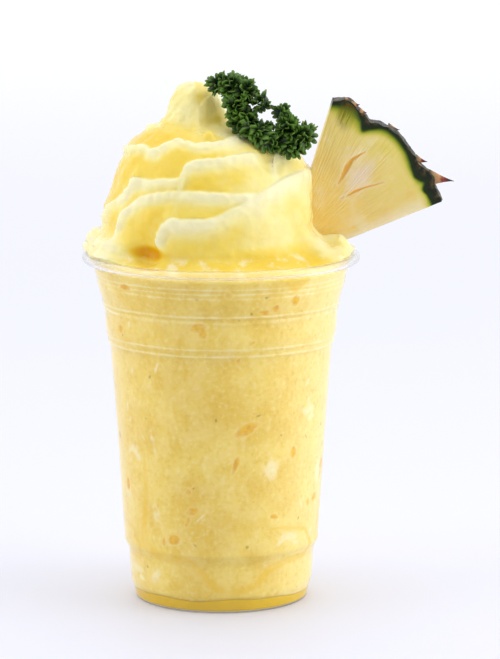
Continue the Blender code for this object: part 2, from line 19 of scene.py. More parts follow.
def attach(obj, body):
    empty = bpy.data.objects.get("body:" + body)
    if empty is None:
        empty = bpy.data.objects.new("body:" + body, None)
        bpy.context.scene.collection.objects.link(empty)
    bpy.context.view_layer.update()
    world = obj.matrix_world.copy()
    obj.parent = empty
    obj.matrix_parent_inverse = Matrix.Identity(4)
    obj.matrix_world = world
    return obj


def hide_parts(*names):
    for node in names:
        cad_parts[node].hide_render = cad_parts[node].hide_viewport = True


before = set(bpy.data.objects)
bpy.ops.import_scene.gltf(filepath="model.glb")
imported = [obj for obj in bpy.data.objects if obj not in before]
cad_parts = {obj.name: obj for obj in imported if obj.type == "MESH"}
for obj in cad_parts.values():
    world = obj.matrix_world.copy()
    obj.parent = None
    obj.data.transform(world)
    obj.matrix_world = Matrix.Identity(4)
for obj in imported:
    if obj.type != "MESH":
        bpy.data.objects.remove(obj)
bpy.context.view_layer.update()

MM = 0.001

# %% [markdown]
# ## The camera
#
# A product picture of a cup is taken from far off with a long lens, a little above the rim, so
# that the cup's sides stay almost parallel. The rim and the foot show as two flat ellipses, and
# the way their flatness differs gives both the camera's height and its distance. The pixel
# focal length below belongs to a picture 500 pixels wide.

# %% Place the camera
PICTURE_WIDTH = 500
FOCAL_PIXELS = 3595
DISTANCE = 1270 * MM
ELEVATION = math.radians(9.69)
AIM = Vector((10.2, 0.0, 95.6)) * MM

camera_data = bpy.data.cameras.new("camera")
camera_data.sensor_fit = "HORIZONTAL"
camera_data.sensor_width = 36.0
camera_data.lens = camera_data.sensor_width * FOCAL_PIXELS / PICTURE_WIDTH
camera = bpy.data.objects.new("camera", camera_data)
bpy.context.scene.collection.objects.link(camera)
camera.location = AIM + Vector((0.0, -math.cos(ELEVATION), math.sin(ELEVATION))) * DISTANCE
camera.rotation_euler = (math.pi / 2.0 - ELEVATION, 0.0, 0.0)
bpy.context.scene.camera = camera
print("lens", round(camera_data.lens), "mm")

# %% [markdown]
# ## Small helpers for finishes
#
# Colours are easier to judge as they show on a screen, from 0 to 255, so one helper turns such
# a colour into the linear one that shaders need. The others keep each finish's node tree short.
# A finish here is a base colour under thin layers, and each layer follows some value: noise, or
# a number that the mesh carries at its vertices. Painting by hand would do as well, but it
# can't be tried again with one number changed.

# %% Colour and node helpers
def seen(red, green, blue):
    """A colour as a screen shows it, turned into linear light."""
    screen = (red / 255, green / 255, blue / 255)
    return tuple(c / 12.92 if c <= 0.04045 else ((c + 0.055) / 1.055) ** 2.4 for c in screen) + (1.0,)


def new_finish(name):
    """A material, its node tree and its main shader."""
    material = bpy.data.materials.new(name)
    material.use_nodes = True
    return material, material.node_tree, material.node_tree.nodes["Principled BSDF"]


def set_values(shader, **values):
    """Set sockets by name, with an underscore for each space."""
    for name, value in values.items():
        shader.inputs[name.replace("_", " ")].default_value = value


def add_node(tree, kind, inputs=None, **settings):
    """A node with these inputs, each a number, a colour or a link, and these settings."""
    node = tree.nodes.new(kind)
    for name, value in settings.items():
        setattr(node, name, value)
    inputs = inputs or {}
    connect(tree, [node.inputs[name] for name in inputs], inputs.values())
    return node


def vertex_value(tree, name):
    """A number that the mesh carries at each vertex."""
    return add_node(tree, "ShaderNodeAttribute", attribute_name=name).outputs["Fac"]


def speckle(tree, size, detail=3.0, roughness=0.5, stretch=(1, 1, 1)):
    """Noise whose blotches are about this many metres across."""
    place = add_node(tree, "ShaderNodeTexCoord").outputs["Object"]
    if stretch != (1, 1, 1):
        place = add_node(tree, "ShaderNodeMapping", {"Vector": place, "Scale": stretch}).outputs["Vector"]
    inputs = {"Vector": place, "Scale": 0.5 / size, "Detail": detail, "Roughness": roughness}
    return add_node(tree, "ShaderNodeTexNoise", inputs).outputs["Fac"]


def ramp(tree, value, *stops):
    """Colours along a value: each stop is a place from 0 to 1 and a colour."""
    node = add_node(tree, "ShaderNodeValToRGB", {"Fac": value})
    elements = node.color_ramp.elements
    while len(elements) < len(stops):
        elements.new(0.5)
    for element, (place, colour) in zip(elements, sorted(stops)):
        element.position = place
        element.color = colour
    return node.outputs["Color"]


def connect(tree, sockets, values):
    """Give each socket its value, or a link where the value is another socket."""
    for socket, value in zip(sockets, values):
        if isinstance(value, bpy.types.NodeSocket):
            tree.links.new(value, socket)
        else:
            socket.default_value = value


def mix(tree, share, first, second):
    """The first colour where the share is 0, the second where it is 1."""
    node = add_node(tree, "ShaderNodeMix", data_type="RGBA")
    connect(tree, (node.inputs[0], node.inputs[6], node.inputs[7]), (share, first, second))
    return node.outputs[2]


def sums(tree, way, first, second, third=0.0):
    """One sum with two or three values."""
    node = add_node(tree, "ShaderNodeMath", operation=way)
    connect(tree, node.inputs, (first, second, third))
    return node.outputs[0]


def spread(tree, value, low, high):
    """The value stretched so that low becomes 0 and high becomes 1, and held there."""
    inputs = {"Value": value, "From Min": low, "From Max": high}
    return add_node(tree, "ShaderNodeMapRange", inputs, interpolation_type="SMOOTHSTEP").outputs["Result"]


def unsettle(tree, value, noise_value, amount):
    """The value, moved both ways by noise."""
    return sums(tree, "MULTIPLY_ADD", sums(tree, "SUBTRACT", noise_value, 0.5), amount, value)


def layered(tree, base, *layers):
    """The base colour under layers. Each layer is a colour, the value it follows, where on that
    value it starts and where it is full, and how strong it is there."""
    for colour, value, start, full, most in layers:
        share = sums(tree, "MULTIPLY", spread(tree, value, start, full), most)
        base = mix(tree, share, base, colour)
    return base


def wear(tree, shader, colour, roughness):
    """Join a finish's colour and roughness to its shader."""
    tree.links.new(colour, shader.inputs["Base Color"])
    tree.links.new(roughness, shader.inputs["Roughness"])


def bump(tree, shader, height, distance, strength):
    """Fine relief, this many metres deep, that only the shading shows."""
    inputs = {"Height": height, "Distance": distance, "Strength": strength}
    tree.links.new(add_node(tree, "ShaderNodeBump", inputs).outputs["Normal"], shader.inputs["Normal"])


# %% [markdown]
# ## The table and the light
#
# The picture is high key: a wide white sheet whose far edge is out of the frame, large soft
# lamps at the left and the right, and one above. Painted shade makes the sheet greyer near the
# cup than far behind it. A little light of its own keeps it white, and it still takes the
# soft shadow.

# %% A white sheet
SHEET_HALF_WIDTH = 5.0
SHEET_SHADE_GONE_AT = 2.6


def make_sheet():
    """One flat square in its paper finish, with painted shade near the cup."""
    corners = ((-1, -1), (1, -1), (1, 1), (-1, 1))
    points = [(x * SHEET_HALF_WIDTH, y * SHEET_HALF_WIDTH, 0.0) for x, y in corners]
    mesh = bpy.data.meshes.new("sheet")
    mesh.from_pydata(points, [], [(0, 1, 2, 3)])
    sheet = bpy.data.objects.new("sheet", mesh)
    bpy.context.scene.collection.objects.link(sheet)
    material, tree, shader = new_finish("sheet_paper")
    place = add_node(tree, "ShaderNodeTexCoord").outputs["Object"]
    to_back = add_node(tree, "ShaderNodeSeparateXYZ", {"Vector": place}).outputs["Y"]
    # Painted shade: the paper is greyer near the cup and turns white further back.
    near = mix(tree, speckle(tree, 0.2), seen(217, 217, 228), seen(213, 214, 226))
    paper = mix(tree, spread(tree, to_back, 0.0, SHEET_SHADE_GONE_AT), near, seen(253, 252, 250))
    tree.links.new(paper, shader.inputs["Base Color"])
    set_values(shader, Roughness=0.6, Emission_Color=seen(246, 248, 255), Emission_Strength=0.14)
    mesh.materials.append(material)
    return sheet


sheet = make_sheet()

# %% [markdown]
# Each lamp is a flat rectangle turned towards the drink. The rest of the light comes from a
# white room round it all. The room is darker on the side behind the camera, so that the clear
# plastic has something to reflect.

# %% Soft lamps and a white room
# The room's tones from its front, behind the camera, to its back
ROOM_TONES = (
    (0.04, seen(166, 167, 172)),
    (0.24, seen(232, 234, 240)),
    (0.42, seen(250, 251, 255)),
    (1.0, seen(250, 251, 255)),
)
ROOM_STRENGTH = 1.04


def soft_light(name, place, size, watts):
    """A lamp with its place and size in metres, turned towards the camera's aim."""
    data = bpy.data.lights.new(name, "AREA")
    data.shape = "RECTANGLE"
    data.size, data.size_y = size
    data.energy = watts
    light = bpy.data.objects.new(name, data)
    bpy.context.scene.collection.objects.link(light)
    light.location = place
    light.rotation_euler = (AIM - Vector(place)).to_track_quat("-Z", "Y").to_euler()
    return light


soft_light("left_box", (-0.9, -0.25, 0.4), (0.7, 0.9), 2.1)
soft_light("right_box", (0.9, -0.25, 0.4), (0.7, 0.9), 3.6)
soft_light("top_box", (0.0, 0.15, 0.95), (0.9, 0.7), 1.3)
room = bpy.data.worlds.new("white_room")
room.use_nodes = True
way = add_node(room.node_tree, "ShaderNodeTexCoord").outputs["Generated"]
to_back = add_node(room.node_tree, "ShaderNodeSeparateXYZ", {"Vector": way}).outputs["Y"]
walls = ramp(room.node_tree, sums(room.node_tree, "MULTIPLY_ADD", to_back, 0.5, 0.5), *ROOM_TONES)
background = room.node_tree.nodes["Background"]
room.node_tree.links.new(walls, background.inputs["Color"])
background.inputs["Strength"].default_value = ROOM_STRENGTH
bpy.context.scene.world = room
bpy.context.scene.view_settings.view_transform = "Standard"

# %% [markdown]
# ## Turned and ringed shapes
#
# The cup is a turned thing: a half section spun round the axis by a Screw modifier. The
# smoothie isn't, because its radius changes all the way round, so it is built as a stack of
# rings of points, each joined to the next by faces and closed by a fan at both ends.

# %% Curves through a few points
def smoothstep(x):
    """0 up to 0, 1 from 1 on, and a soft S between."""
    x = np.clip(x, 0.0, 1.0)
    return x * x * (3.0 - 2.0 * x)


def smooth_line(x, points):
    """A curve through the points, with the slope at each taken from its neighbours."""
    xs = np.array([p[0] for p in points], float)
    ys = np.array([p[1] for p in points], float)
    slopes = np.gradient(ys, xs)
    x = np.clip(x, xs[0], xs[-1])
    i = np.clip(np.searchsorted(xs, x) - 1, 0, len(xs) - 2)
    width = xs[i + 1] - xs[i]
    t = (x - xs[i]) / width
    rise = (2 * t**3 - 3 * t**2 + 1) * ys[i] + (3 * t**2 - 2 * t**3) * ys[i + 1]
    return rise + width * ((t**3 - 2 * t**2 + t) * slopes[i] + (t**3 - t**2) * slopes[i + 1])


# %% A closed skin over rings of points
def put_in_scene(name, mesh, material, slot, *nodes):
    """Link a finished mesh with its material, attach it and hide what it replaces; the slot, for what it is
    finished as, is not used.
    """
    mesh.materials.append(material)
    mesh.shade_smooth()
    piece = bpy.data.objects.new(name, mesh)
    bpy.context.scene.collection.objects.link(piece)
    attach(piece, "root")
    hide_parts(*nodes)
    print(name, len(mesh.polygons), "faces")
    return piece


def carry(mesh, name, values):
    """Store one number for each vertex, for the finish to read."""
    layer = mesh.attributes.new(name, "FLOAT", "POINT")
    layer.data.foreach_set("value", np.asarray(values, dtype=np.float32).ravel())


def ringed_mesh(name, rings, first_point, last_point):
    """A closed mesh over rings, an array of rows by columns by 3, in millimetres."""
    rows, columns, _ = rings.shape
    points = np.concatenate([rings.reshape(-1, 3), [first_point], [last_point]]) * MM
    index = np.arange(rows * columns).reshape(rows, columns)
    near, far = index, np.roll(index, -1, axis=1)
    walls = np.stack([near[:-1], far[:-1], far[1:], near[1:]], axis=-1).reshape(-1, 4)
    first, last = rows * columns, rows * columns + 1
    caps = [(first, far[0, c], near[0, c]) for c in range(columns)]
    caps += [(last, near[-1, c], far[-1, c]) for c in range(columns)]
    mesh = bpy.data.meshes.new(name)
    mesh.from_pydata(points.tolist(), [], walls.tolist() + [tuple(int(i) for i in cap) for cap in caps])
    return mesh


# %% [markdown]
# ## The cup
#
# A cup like this is blown from thin clear sheet. Its rim is rolled outward into a bead, two
# steps below it keep stacked cups apart, and a third step near the foot stiffens it. Small
# ridges ring the wall between them. A half section with all of these, spun by Screw, gives the
# cup. The wall is half a millimetre thick and really has two faces, because clear plastic only
# looks right with both. The rim's bead is the same thin sheet curled over, hollow inside, so
# the drink's colour shows through it.

# %% The cup's measures
CUP_HEIGHT = 123.5
WALL = 0.5
INNER_WALL_FROM = 0.9
RIM_OUTER = 48.9
ROLL_RADIUS = 1.6
FLOOR_TOP = 0.5
# Height and radius of the outer wall, from its foot up to the rim
CUP_OUTER = (
    (0.4, 30.4), (2.4, 30.8), (8.3, 32.3), (17.8, 32.8), (21.0, 34.4), (57.7, 36.7), (90.4, 39.1),
    (97.6, 40.8), (105.0, 41.1), (112.0, 43.3), (116.0, 43.9), (119.6, 45.4),
)
CUP_TURNS = 192


def cup_outer_radius(height):
    """The outer wall's radius with sharp corners and no ridges."""
    return np.interp(height, [p[0] for p in CUP_OUTER], [p[1] for p in CUP_OUTER])


# %% The wall's ridges and bends
# Small ridges pressed round the wall: height, half width and how far each stands out
RIDGES = (
    (6.6, 0.8, 0.25), (21.4, 0.9, 0.20), (92.6, 0.7, 0.40), (95.0, 0.7, 0.30), (104.6, 0.7, 0.40),
    (106.6, 0.7, 0.40), (113.0, 0.5, 0.22), (114.8, 0.5, 0.22), (116.6, 0.5, 0.22),
)
CORNER_WINDOW = (-1.2, -0.6, 0.0, 0.6, 1.2)
FINE_STEP = 0.3
LONG_STEP = 2.0


def wall_radius(height):
    """The outer wall's radius, with the corner at each step rounded over."""
    height = np.asarray(height, float)
    radius = np.mean([cup_outer_radius(height + step) for step in CORNER_WINDOW], axis=0)
    for level, half_width, most in RIDGES:
        radius = radius + most * smoothstep(1.0 - np.abs(height - level) / half_width)
    return radius


def wall_heights():
    """Heights along the wall, close together where it bends and wider apart where it is straight."""
    bends = [level for level, _ in CUP_OUTER] + [level for level, _, _ in RIDGES]
    heights, height = [], CUP_OUTER[0][0]
    while height < CUP_OUTER[-1][0]:
        heights.append(height)
        near = min(abs(height - bend) for bend in bends)
        height += FINE_STEP if near < 6 * FINE_STEP else min(LONG_STEP, near - 5 * FINE_STEP)
    return heights


# %% The cup's half section
ROLL_FROM, ROLL_TO, ROLL_STEP = 180, -130, -10
UNDERSIDE = ((29.9, 0.0), (28.0, 0.0), (27.6, 0.15), (13.0, 0.15), (12.6, 0.0), (0.0, 0.0))


def cup_section():
    """Inner floor, inner wall, rolled rim, outer wall and underside, in that order."""
    wall = [(float(wall_radius(height)), height) for height in wall_heights()]
    section = [(0.0, FLOOR_TOP), (15.0, FLOOR_TOP), (28.5, FLOOR_TOP), (29.3, FLOOR_TOP + 0.1)]
    section += [(radius - WALL, height) for radius, height in wall if height > INNER_WALL_FROM]
    middle_radius, middle_height = RIM_OUTER - ROLL_RADIUS, CUP_HEIGHT - ROLL_RADIUS
    turns = range(ROLL_FROM, ROLL_TO + ROLL_STEP, ROLL_STEP)
    over = [(degrees, ROLL_RADIUS) for degrees in turns]
    back = [(degrees, ROLL_RADIUS - WALL) for degrees in reversed(turns)]
    for degrees, reach in over + back:
        angle = math.radians(degrees)
        section.append((middle_radius + reach * math.cos(angle), middle_height + reach * math.sin(angle)))
    section += reversed(wall)
    section += UNDERSIDE
    return section


# %% Spin the section into a shell
def make_cup():
    """The section turned once round the axis, as a mesh."""
    section = cup_section()
    print("the cup's half section has", len(section), "points")
    mesh = bpy.data.meshes.new("cup_section")
    points = [(radius * MM, 0.0, height * MM) for radius, height in section]
    mesh.from_pydata(points, [(i, i + 1) for i in range(len(points) - 1)], [])
    turning = bpy.data.objects.new("cup_section", mesh)
    bpy.context.scene.collection.objects.link(turning)
    screw = turning.modifiers.new("turn", "SCREW")
    screw.steps = screw.render_steps = CUP_TURNS
    screw.use_merge_vertices = True
    screw.merge_threshold = 0.00001
    bpy.context.view_layer.update()
    shell = bpy.data.meshes.new_from_object(turning.evaluated_get(bpy.context.evaluated_depsgraph_get()))
    bpy.data.objects.remove(turning, do_unlink=True)
    shell.name = "cup_shell"
    return shell


# %% [markdown]
# Clear plastic is a shader that lets light through and bends it. A lamp's light doesn't find
# its way through such a shader in a few samples, and the drink behind it would go dark and
# noisy. The wall hardly bends light at all, so rays from lamps may pass straight through it:
# a Light Path node gives them a Transparent shader in place of the plastic. Inside the rolled
# rim light bounces many more times than a render follows, so the plastic has a trace of light
# of its own, and the rim stays as pale as it is.

# %% Clear plastic
def clear_plastic():
    material, tree, shader = new_finish("clear_plastic")
    set_values(shader, Base_Color=(1.0, 1.0, 1.0, 1.0), IOR=1.32, Transmission_Weight=1.0)
    set_values(shader, Emission_Color=seen(255, 252, 246), Emission_Strength=0.03)
    tree.links.new(spread(tree, speckle(tree, 0.004, detail=2.0), -2.0, 8.0), shader.inputs["Roughness"])
    ripple = speckle(tree, 0.006, detail=1.0, stretch=(1, 1, 0.25))
    bump(tree, shader, ripple, 0.0004, 0.12)
    lamp_ray = add_node(tree, "ShaderNodeLightPath").outputs["Is Shadow Ray"]
    open_air = add_node(tree, "ShaderNodeBsdfTransparent")
    chosen = add_node(tree, "ShaderNodeMixShader")
    connect(tree, chosen.inputs, (lamp_ray, shader.outputs[0], open_air.outputs[0]))
    tree.links.new(chosen.outputs[0], tree.nodes["Material Output"].inputs["Surface"])
    return material


put_in_scene("cup_shell", make_cup(), clear_plastic(), "clear_plastic", "cup")

# %% [markdown]
# ## The smoothie's swirl
#
# The swirl is thick smoothie piled in turns. Each turn leaves a fold: a soft lip that stands
# out, a face that leans in below it, and a hollow above it where the next fold begins. Folds
# start low on the left with a rounded end and climb to the right. So the surface here is an
# envelope, foot to tip, and on it each fold is a line, its crest, given by a few azimuths and
# heights. A point's distance from the crest says how far it stands out or in. Sculpting would
# do as well, but lines can be measured on the photograph and moved one at a time.

# %% The envelope and its lean
# Radius and height from the swirl's foot to its tip
SWIRL_ENVELOPE = (
    (37.6, 126.0), (36.6, 131.0), (36.7, 138.0), (35.5, 145.0), (34.0, 151.5), (31.2, 157.5),
    (26.6, 163.0), (19.6, 166.8), (13.2, 169.6), (10.6, 173.2), (9.0, 177.2), (6.6, 181.0),
    (3.0, 182.9), (0.0, 183.3),
)
# Height, and how far the swirl's middle lies to the right of the cup's there
SWIRL_LEAN = (
    (122.0, 0.0), (130.0, -4.4), (140.0, -4.4), (148.0, -3.0), (158.0, -3.0), (165.0, -5.0),
    (170.0, -8.0), (183.0, -9.2),
)

# %% The crests
# Each crest: azimuth in degrees from the front, plus to the right, and height
FOLDS = {
    "front_apron": (
        (-31, 131.3), (-25, 136.8), (-11, 139.0), (0, 139.2), (12, 142.6), (25, 146.5), (44, 151.4),
        (62, 153.0), (90, 152.5), (130, 155.0), (180, 159.0),
    ),
    "front_left": (
        (-61, 132.5), (-56, 138.0), (-48, 143.2), (-37, 146.7), (-21, 148.6), (-3, 148.5),
        (19, 147.6), (48, 149.0),
    ),
    "front_upper": (
        (-20, 151.5), (-18, 155.4), (-13, 158.1), (-7, 158.9), (9, 159.6), (25, 160.8), (56, 158.5),
    ),
    "right_upper": ((38, 155.5), (46, 159.2), (56, 160.4), (73, 160.8), (110, 163.5), (170, 167.0)),
    "left_peak": (
        (-92, 129.0), (-84, 135.0), (-76, 139.3), (-67, 143.3), (-58, 146.7), (-52, 150.0),
        (-45, 151.6), (-37, 151.8), (-22, 152.8), (5, 153.0),
    ),
    "long_back": (
        (-272, 129.0), (-240, 139.0), (-180, 150.0), (-120, 157.5), (-90, 160.0), (-72, 161.3),
        (-55, 162.6), (-41, 161.8), (-34, 163.6), (-25, 165.1), (-7, 164.2), (12, 164.6),
        (30, 166.0), (60, 168.0),
    ),
    "left_middle": ((-230, 131.0), (-180, 138.5), (-130, 146.0), (-105, 150.0), (-84, 152.5)),
    "left_low": ((-170, 129.5), (-130, 134.5), (-100, 138.0), (-80, 140.5)),
    "back_upper": ((100, 146.0), (150, 154.0), (180, 158.0), (240, 165.5)),
    "left_top": ((-150, 164.5), (-110, 167.0), (-80, 168.6), (-60, 169.2), (-44, 168.6)),
    "tip_curl": ((-4, 171.6), (0, 174.0), (10, 175.6), (23, 177.4), (44, 178.8), (90, 180.5), (140, 181.5)),
    "tip_cap": ((-200, 183.3), (200, 183.3)),
}

# %% The shape across a fold
# How far the crest stands out of the envelope and the hollow lies in, how wide the ledge above
# the crest is, and how far the face below it leans in, over what length
LIP = 0.9
HOLLOW_DEPTH = 5.2
LEDGE_WIDTH = 3.0
FACE_DEPTH = 3.6
FACE_LENGTH = 10.5
# The rounded end: over how many degrees it bends, how far it drops, and how fast a fold starts
END_WIDTH = 6.0
END_DROP = 9.0
START_WIDTH = 5.0
FADE_WIDTH = 28.0
STEEPEST = 1.6
# The smallest radius that a fold's slope is reckoned at, and the one from which folds are full
LEAST_RADIUS = 4.0
FULL_RADIUS = 24.0
# The folds that differ from the usual in their face, their end or their start
FOLD_FACE = {"front_apron": 1.6, "front_upper": 2.6, "tip_curl": 1.5, "tip_cap": 1.2, "left_top": 2.4}
FOLD_END = {"tip_curl": 1.0, "right_upper": 4.0, "front_upper": 6.0}
FOLD_START = {"tip_curl": 30.0, "left_top": 30.0, "right_upper": 14.0}
PATH_POINTS = 600


def lean(height):
    """How far the swirl's middle lies to the right at a height."""
    return np.interp(height, [p[0] for p in SWIRL_LEAN], [p[1] for p in SWIRL_LEAN])


def envelope_path():
    """Lengths, radii, heights and outward normals along the swirl's envelope."""
    envelope = np.array(SWIRL_ENVELOPE)
    rough = np.concatenate(([0.0], np.cumsum(np.hypot(*np.diff(envelope, axis=0).T))))
    along = np.linspace(0.0, rough[-1], PATH_POINTS)
    radius = np.maximum(smooth_line(along, list(zip(rough, envelope[:, 0]))), 0.0)
    height = smooth_line(along, list(zip(rough, envelope[:, 1])))
    tangent = np.stack([np.gradient(radius, along), np.gradient(height, along)], axis=1)
    tangent /= np.linalg.norm(tangent, axis=1)[:, None]
    return along, radius, height, np.stack([tangent[:, 1], -tangent[:, 0]], axis=1)


PATH = envelope_path()
print("the envelope is", round(float(PATH[0][-1]), 1), "mm long, with", len(FOLDS), "folds on it")

# %% How far one fold stands out
def crest_line(name, azimuth):
    """How far along the envelope a fold's crest lies, with a rounded end at its start."""
    lengths, _, heights, _ = PATH
    points = FOLDS[name]
    line = np.interp(smooth_line(azimuth, points), heights, lengths)
    inside_end = np.clip((points[0][0] + END_WIDTH - azimuth) / END_WIDTH, 0.0, 1.0)
    return line - FOLD_END.get(name, END_DROP) * (1.0 - np.sqrt(1.0 - inside_end**2))


def fold_offset(name, azimuth, along):
    """How far a fold stands out of the envelope, or lies in, at each azimuth and length."""
    lengths, radii, _, _ = PATH
    first, last = FOLDS[name][0][0], FOLDS[name][-1][0]
    start = FOLD_START.get(name, START_WIDTH)
    best = np.full_like(along, -HOLLOW_DEPTH)
    for whole_turn in (-360.0, 0.0, 360.0):
        angle = azimuth + whole_turn
        arc = np.maximum(np.interp(along, lengths, radii), LEAST_RADIUS) * math.radians(1.0)
        slope = (crest_line(name, angle + 0.5) - crest_line(name, angle - 0.5)) / arc
        slope = np.clip(slope, -STEEPEST, STEEPEST)
        distance = (along - crest_line(name, angle)) / np.sqrt(1.0 + slope**2)
        above = LIP - (LIP + HOLLOW_DEPTH) * smoothstep(distance / LEDGE_WIDTH)
        face = FOLD_FACE.get(name, FACE_DEPTH)
        below = LIP - (LIP + face) * smoothstep(-distance / FACE_LENGTH)
        stands = np.where(distance > 0.0, above, below)
        share = smoothstep((last - angle) / FADE_WIDTH) * smoothstep((angle - first) / start + 0.6)
        best = np.maximum(best, share * stands - (1.0 - share) * HOLLOW_DEPTH)
    return best


JOIN_SOFTNESS = 0.45


def swirl_offset(azimuth, along):
    """All folds together, joined softly where they meet, and how much of it fits at the tip."""
    total = np.exp(np.full_like(along, -HOLLOW_DEPTH) / JOIN_SOFTNESS)
    for name in FOLDS:
        total = total + np.exp(fold_offset(name, azimuth, along) / JOIN_SOFTNESS)
    lengths, radii, _, _ = PATH
    size = np.clip(np.interp(along, lengths, radii) / FULL_RADIUS, 0.3, 1.0)
    tip = 1.0 - smoothstep((along - lengths[-1] + 7.0) / 6.0)
    return JOIN_SOFTNESS * np.log(total), size * tip


# %% [markdown]
# Below the swirl the smoothie fills the cup, right into the thickness of the wall so that no
# air shows between them, and between the two it makes a shoulder. In a few places it is heaped
# on the rim, where some was pushed out of the cup.

# %% The shoulder and its heaps
# Radius and height across the shoulder from the wall inward, where it is plain and where heaped
SHOULDER_PLAIN = (
    (44.4, 120.0), (44.0, 121.2), (43.2, 122.3), (42.2, 123.1), (41.0, 123.8), (39.8, 124.5),
    (38.6, 125.2),
)
SHOULDER_HEAPED = (
    (44.7, 121.0), (45.8, 122.8), (47.0, 124.1), (47.8, 124.6), (47.0, 125.3), (45.4, 126.2),
    (43.8, 127.2),
)
# Each heap: azimuth, half width in degrees and how full it is
HEAPS = (
    (-97, 26, 1.0), (-66, 20, 0.85), (-128, 16, 0.7), (72, 13, 0.75), (94, 16, 1.0), (122, 15, 0.6),
    (172, 22, 0.5),
)
# How far a heap fills out the swirl's foot, and over what length it tapers away
TALUS = 5.6
TALUS_LENGTH = 9.0
# Over what length the folds grow from the shoulder, and how much a heap lifts them there
ROOT_LENGTH = 5.0
ROOT_LIFT = 0.8

# %% Round the axis
COLUMNS = 300
ANGLES = np.arange(COLUMNS) * math.tau / COLUMNS
AZIMUTHS = (np.degrees(ANGLES) + 270.0) % 360.0 - 180.0
JUICE_LEVEL = 3.6
WET_DEPTH = 0.28
# 1 over the broad pale face at the front right, which is smoother than the rest
BROAD_FACE = smoothstep((AZIMUTHS - 2.0) / 26.0) * smoothstep((118.0 - AZIMUTHS) / 26.0)


def away_from(azimuth, centre):
    """Degrees between azimuths, the short way round."""
    return np.abs((azimuth - centre + 180.0) % 360.0 - 180.0)


def heap_share(azimuth):
    """How full the shoulder is heaped at each azimuth, from 0 to 1."""
    share = np.zeros_like(azimuth)
    for centre, half_width, full in HEAPS:
        share = np.maximum(share, full * smoothstep(1.25 - away_from(azimuth, centre) / half_width))
    return share


def ring(radius, height, centre_x=0.0):
    """Points all the way round, at one radius and height or at one for each azimuth."""
    points = np.empty((COLUMNS, 3))
    points[:, 0] = centre_x + radius * np.cos(ANGLES)
    points[:, 1] = radius * np.sin(ANGLES)
    points[:, 2] = height
    return points


def juice_top(share):
    """The juice's wavy top; share is 0 at the axis and 1 at the wall."""
    front = np.clip(np.cos(np.radians(AZIMUTHS)), 0.0, 1.0)
    ripple = np.sin(np.radians(AZIMUTHS) * 5.0) + 0.6 * np.sin(np.radians(AZIMUTHS) * 9.0 + 1.0)
    return JUICE_LEVEL + share * (1.2 * front + 0.35 * ripple)


def wetted_radius(height):
    """About halfway into the thickness of the cup's wall."""
    return wall_radius(height) - WET_DEPTH


# %% [markdown]
# The rings climb the wall, cross the shoulder and follow the envelope to the tip. Each point
# also gets a depth, from 0 on a crest to 1 in a hollow, for the finish to read. Fine lumps and
# grain come from noise that is added along the surface's own direction. They are strongest on
# the crests, where crushed ice and fruit break the lip, and weak on the broad right face.

# %% Stack the smoothie's rings
CUP_ROWS = 140
SHOULDER_ROWS = 24
SWIRL_ROWS = 160
FLAT_RINGS = (0.3, 0.6, 0.85)
JUICE_GAP = 0.1
WALL_TOP = 119.0
# Depths that the finish reads: in the cup, on the plain shoulder, and in the one deep pool
CUP_DEPTH = 0.5
SHOULDER_DEPTH = 0.34
POOL_DEPTH = 0.74
# How much paler the broad face is than its folds would make it, and how much smoother
BROAD_CALM = 0.42
BROAD_SMOOTH = 0.7
# A small pool of juice between two heaps: azimuth, height, and half its size each way
POOL = (-36.0, 127.2, 9.0, 2.0)
# The tip's painted shade is lifted all round, as painted light against the sprig's shadow, and a little less
# so where it curls: azimuth and half width there
TIP_FROM = 166.0
CURL = (28.0, 30.0)


def lumps(points, size, seed):
    """Soft noise from -1 to 1 at each point, with lumps of this size in millimetres."""
    flat = points.reshape(-1, 3) / size + seed
    values = [noise.noise(Vector(point)) for point in flat.tolist()]
    return np.array(values).reshape(points.shape[:-1])


# %% Rings in the cup
def cup_rings():
    """Across the smoothie's underside and up the wall: each ring and its depths."""
    low = juice_top(1.0) + JUICE_GAP
    for part in FLAT_RINGS:
        yield ring(part * wetted_radius(low), juice_top(part) + JUICE_GAP), np.full(COLUMNS, CUP_DEPTH)
    for t in np.linspace(0.0, 1.0, CUP_ROWS):
        height = low + t * (WALL_TOP - low)
        yield ring(wetted_radius(height), height), np.full(COLUMNS, CUP_DEPTH)


# %% Rings across the shoulder
def shoulder_line(t, line):
    """A place on the shoulder: its radius and its height after t steps from the wall."""
    start = (float(wetted_radius(WALL_TOP)), WALL_TOP)
    steps = range(len(line) + 1)
    return [smooth_line(t, list(zip(steps, [start[axis]] + [p[axis] for p in line]))) for axis in (0, 1)]


def shoulder_rings(share):
    """From the wall to the swirl's foot: each ring and its depths."""
    for t in np.linspace(0.0, len(SHOULDER_PLAIN), SHOULDER_ROWS + 1)[1:]:
        both = zip(shoulder_line(t, SHOULDER_PLAIN), shoulder_line(t, SHOULDER_HEAPED))
        radius, height = (plain + share * (heaped - plain) for plain, heaped in both)
        depth = SHOULDER_DEPTH * (1.0 - 0.96 * share * smoothstep((t - 1.5) / 2.0))
        yield ring(radius, height, lean(height) * smoothstep((t - 2.0) / 4.5)), depth


# %% Rings over the swirl
def swirl_depth(height, depth):
    """The depths of one ring, with the small pool of juice and the painted light on the tip put in."""
    across, up = away_from(AZIMUTHS, POOL[0]) / POOL[2], (height - POOL[1]) / POOL[3]
    pool = smoothstep(1.5 - np.hypot(across, up))
    depth = depth + pool * (POOL_DEPTH - depth)
    # Painted light: the tip's painted shade is lifted, a little less where it curls.
    at_tip = 0.75 * smoothstep((height - TIP_FROM) / 6.0)
    curl = 0.07 + 0.22 * smoothstep(1.4 - away_from(AZIMUTHS, CURL[0]) / CURL[1])
    return depth + at_tip * (curl - depth)


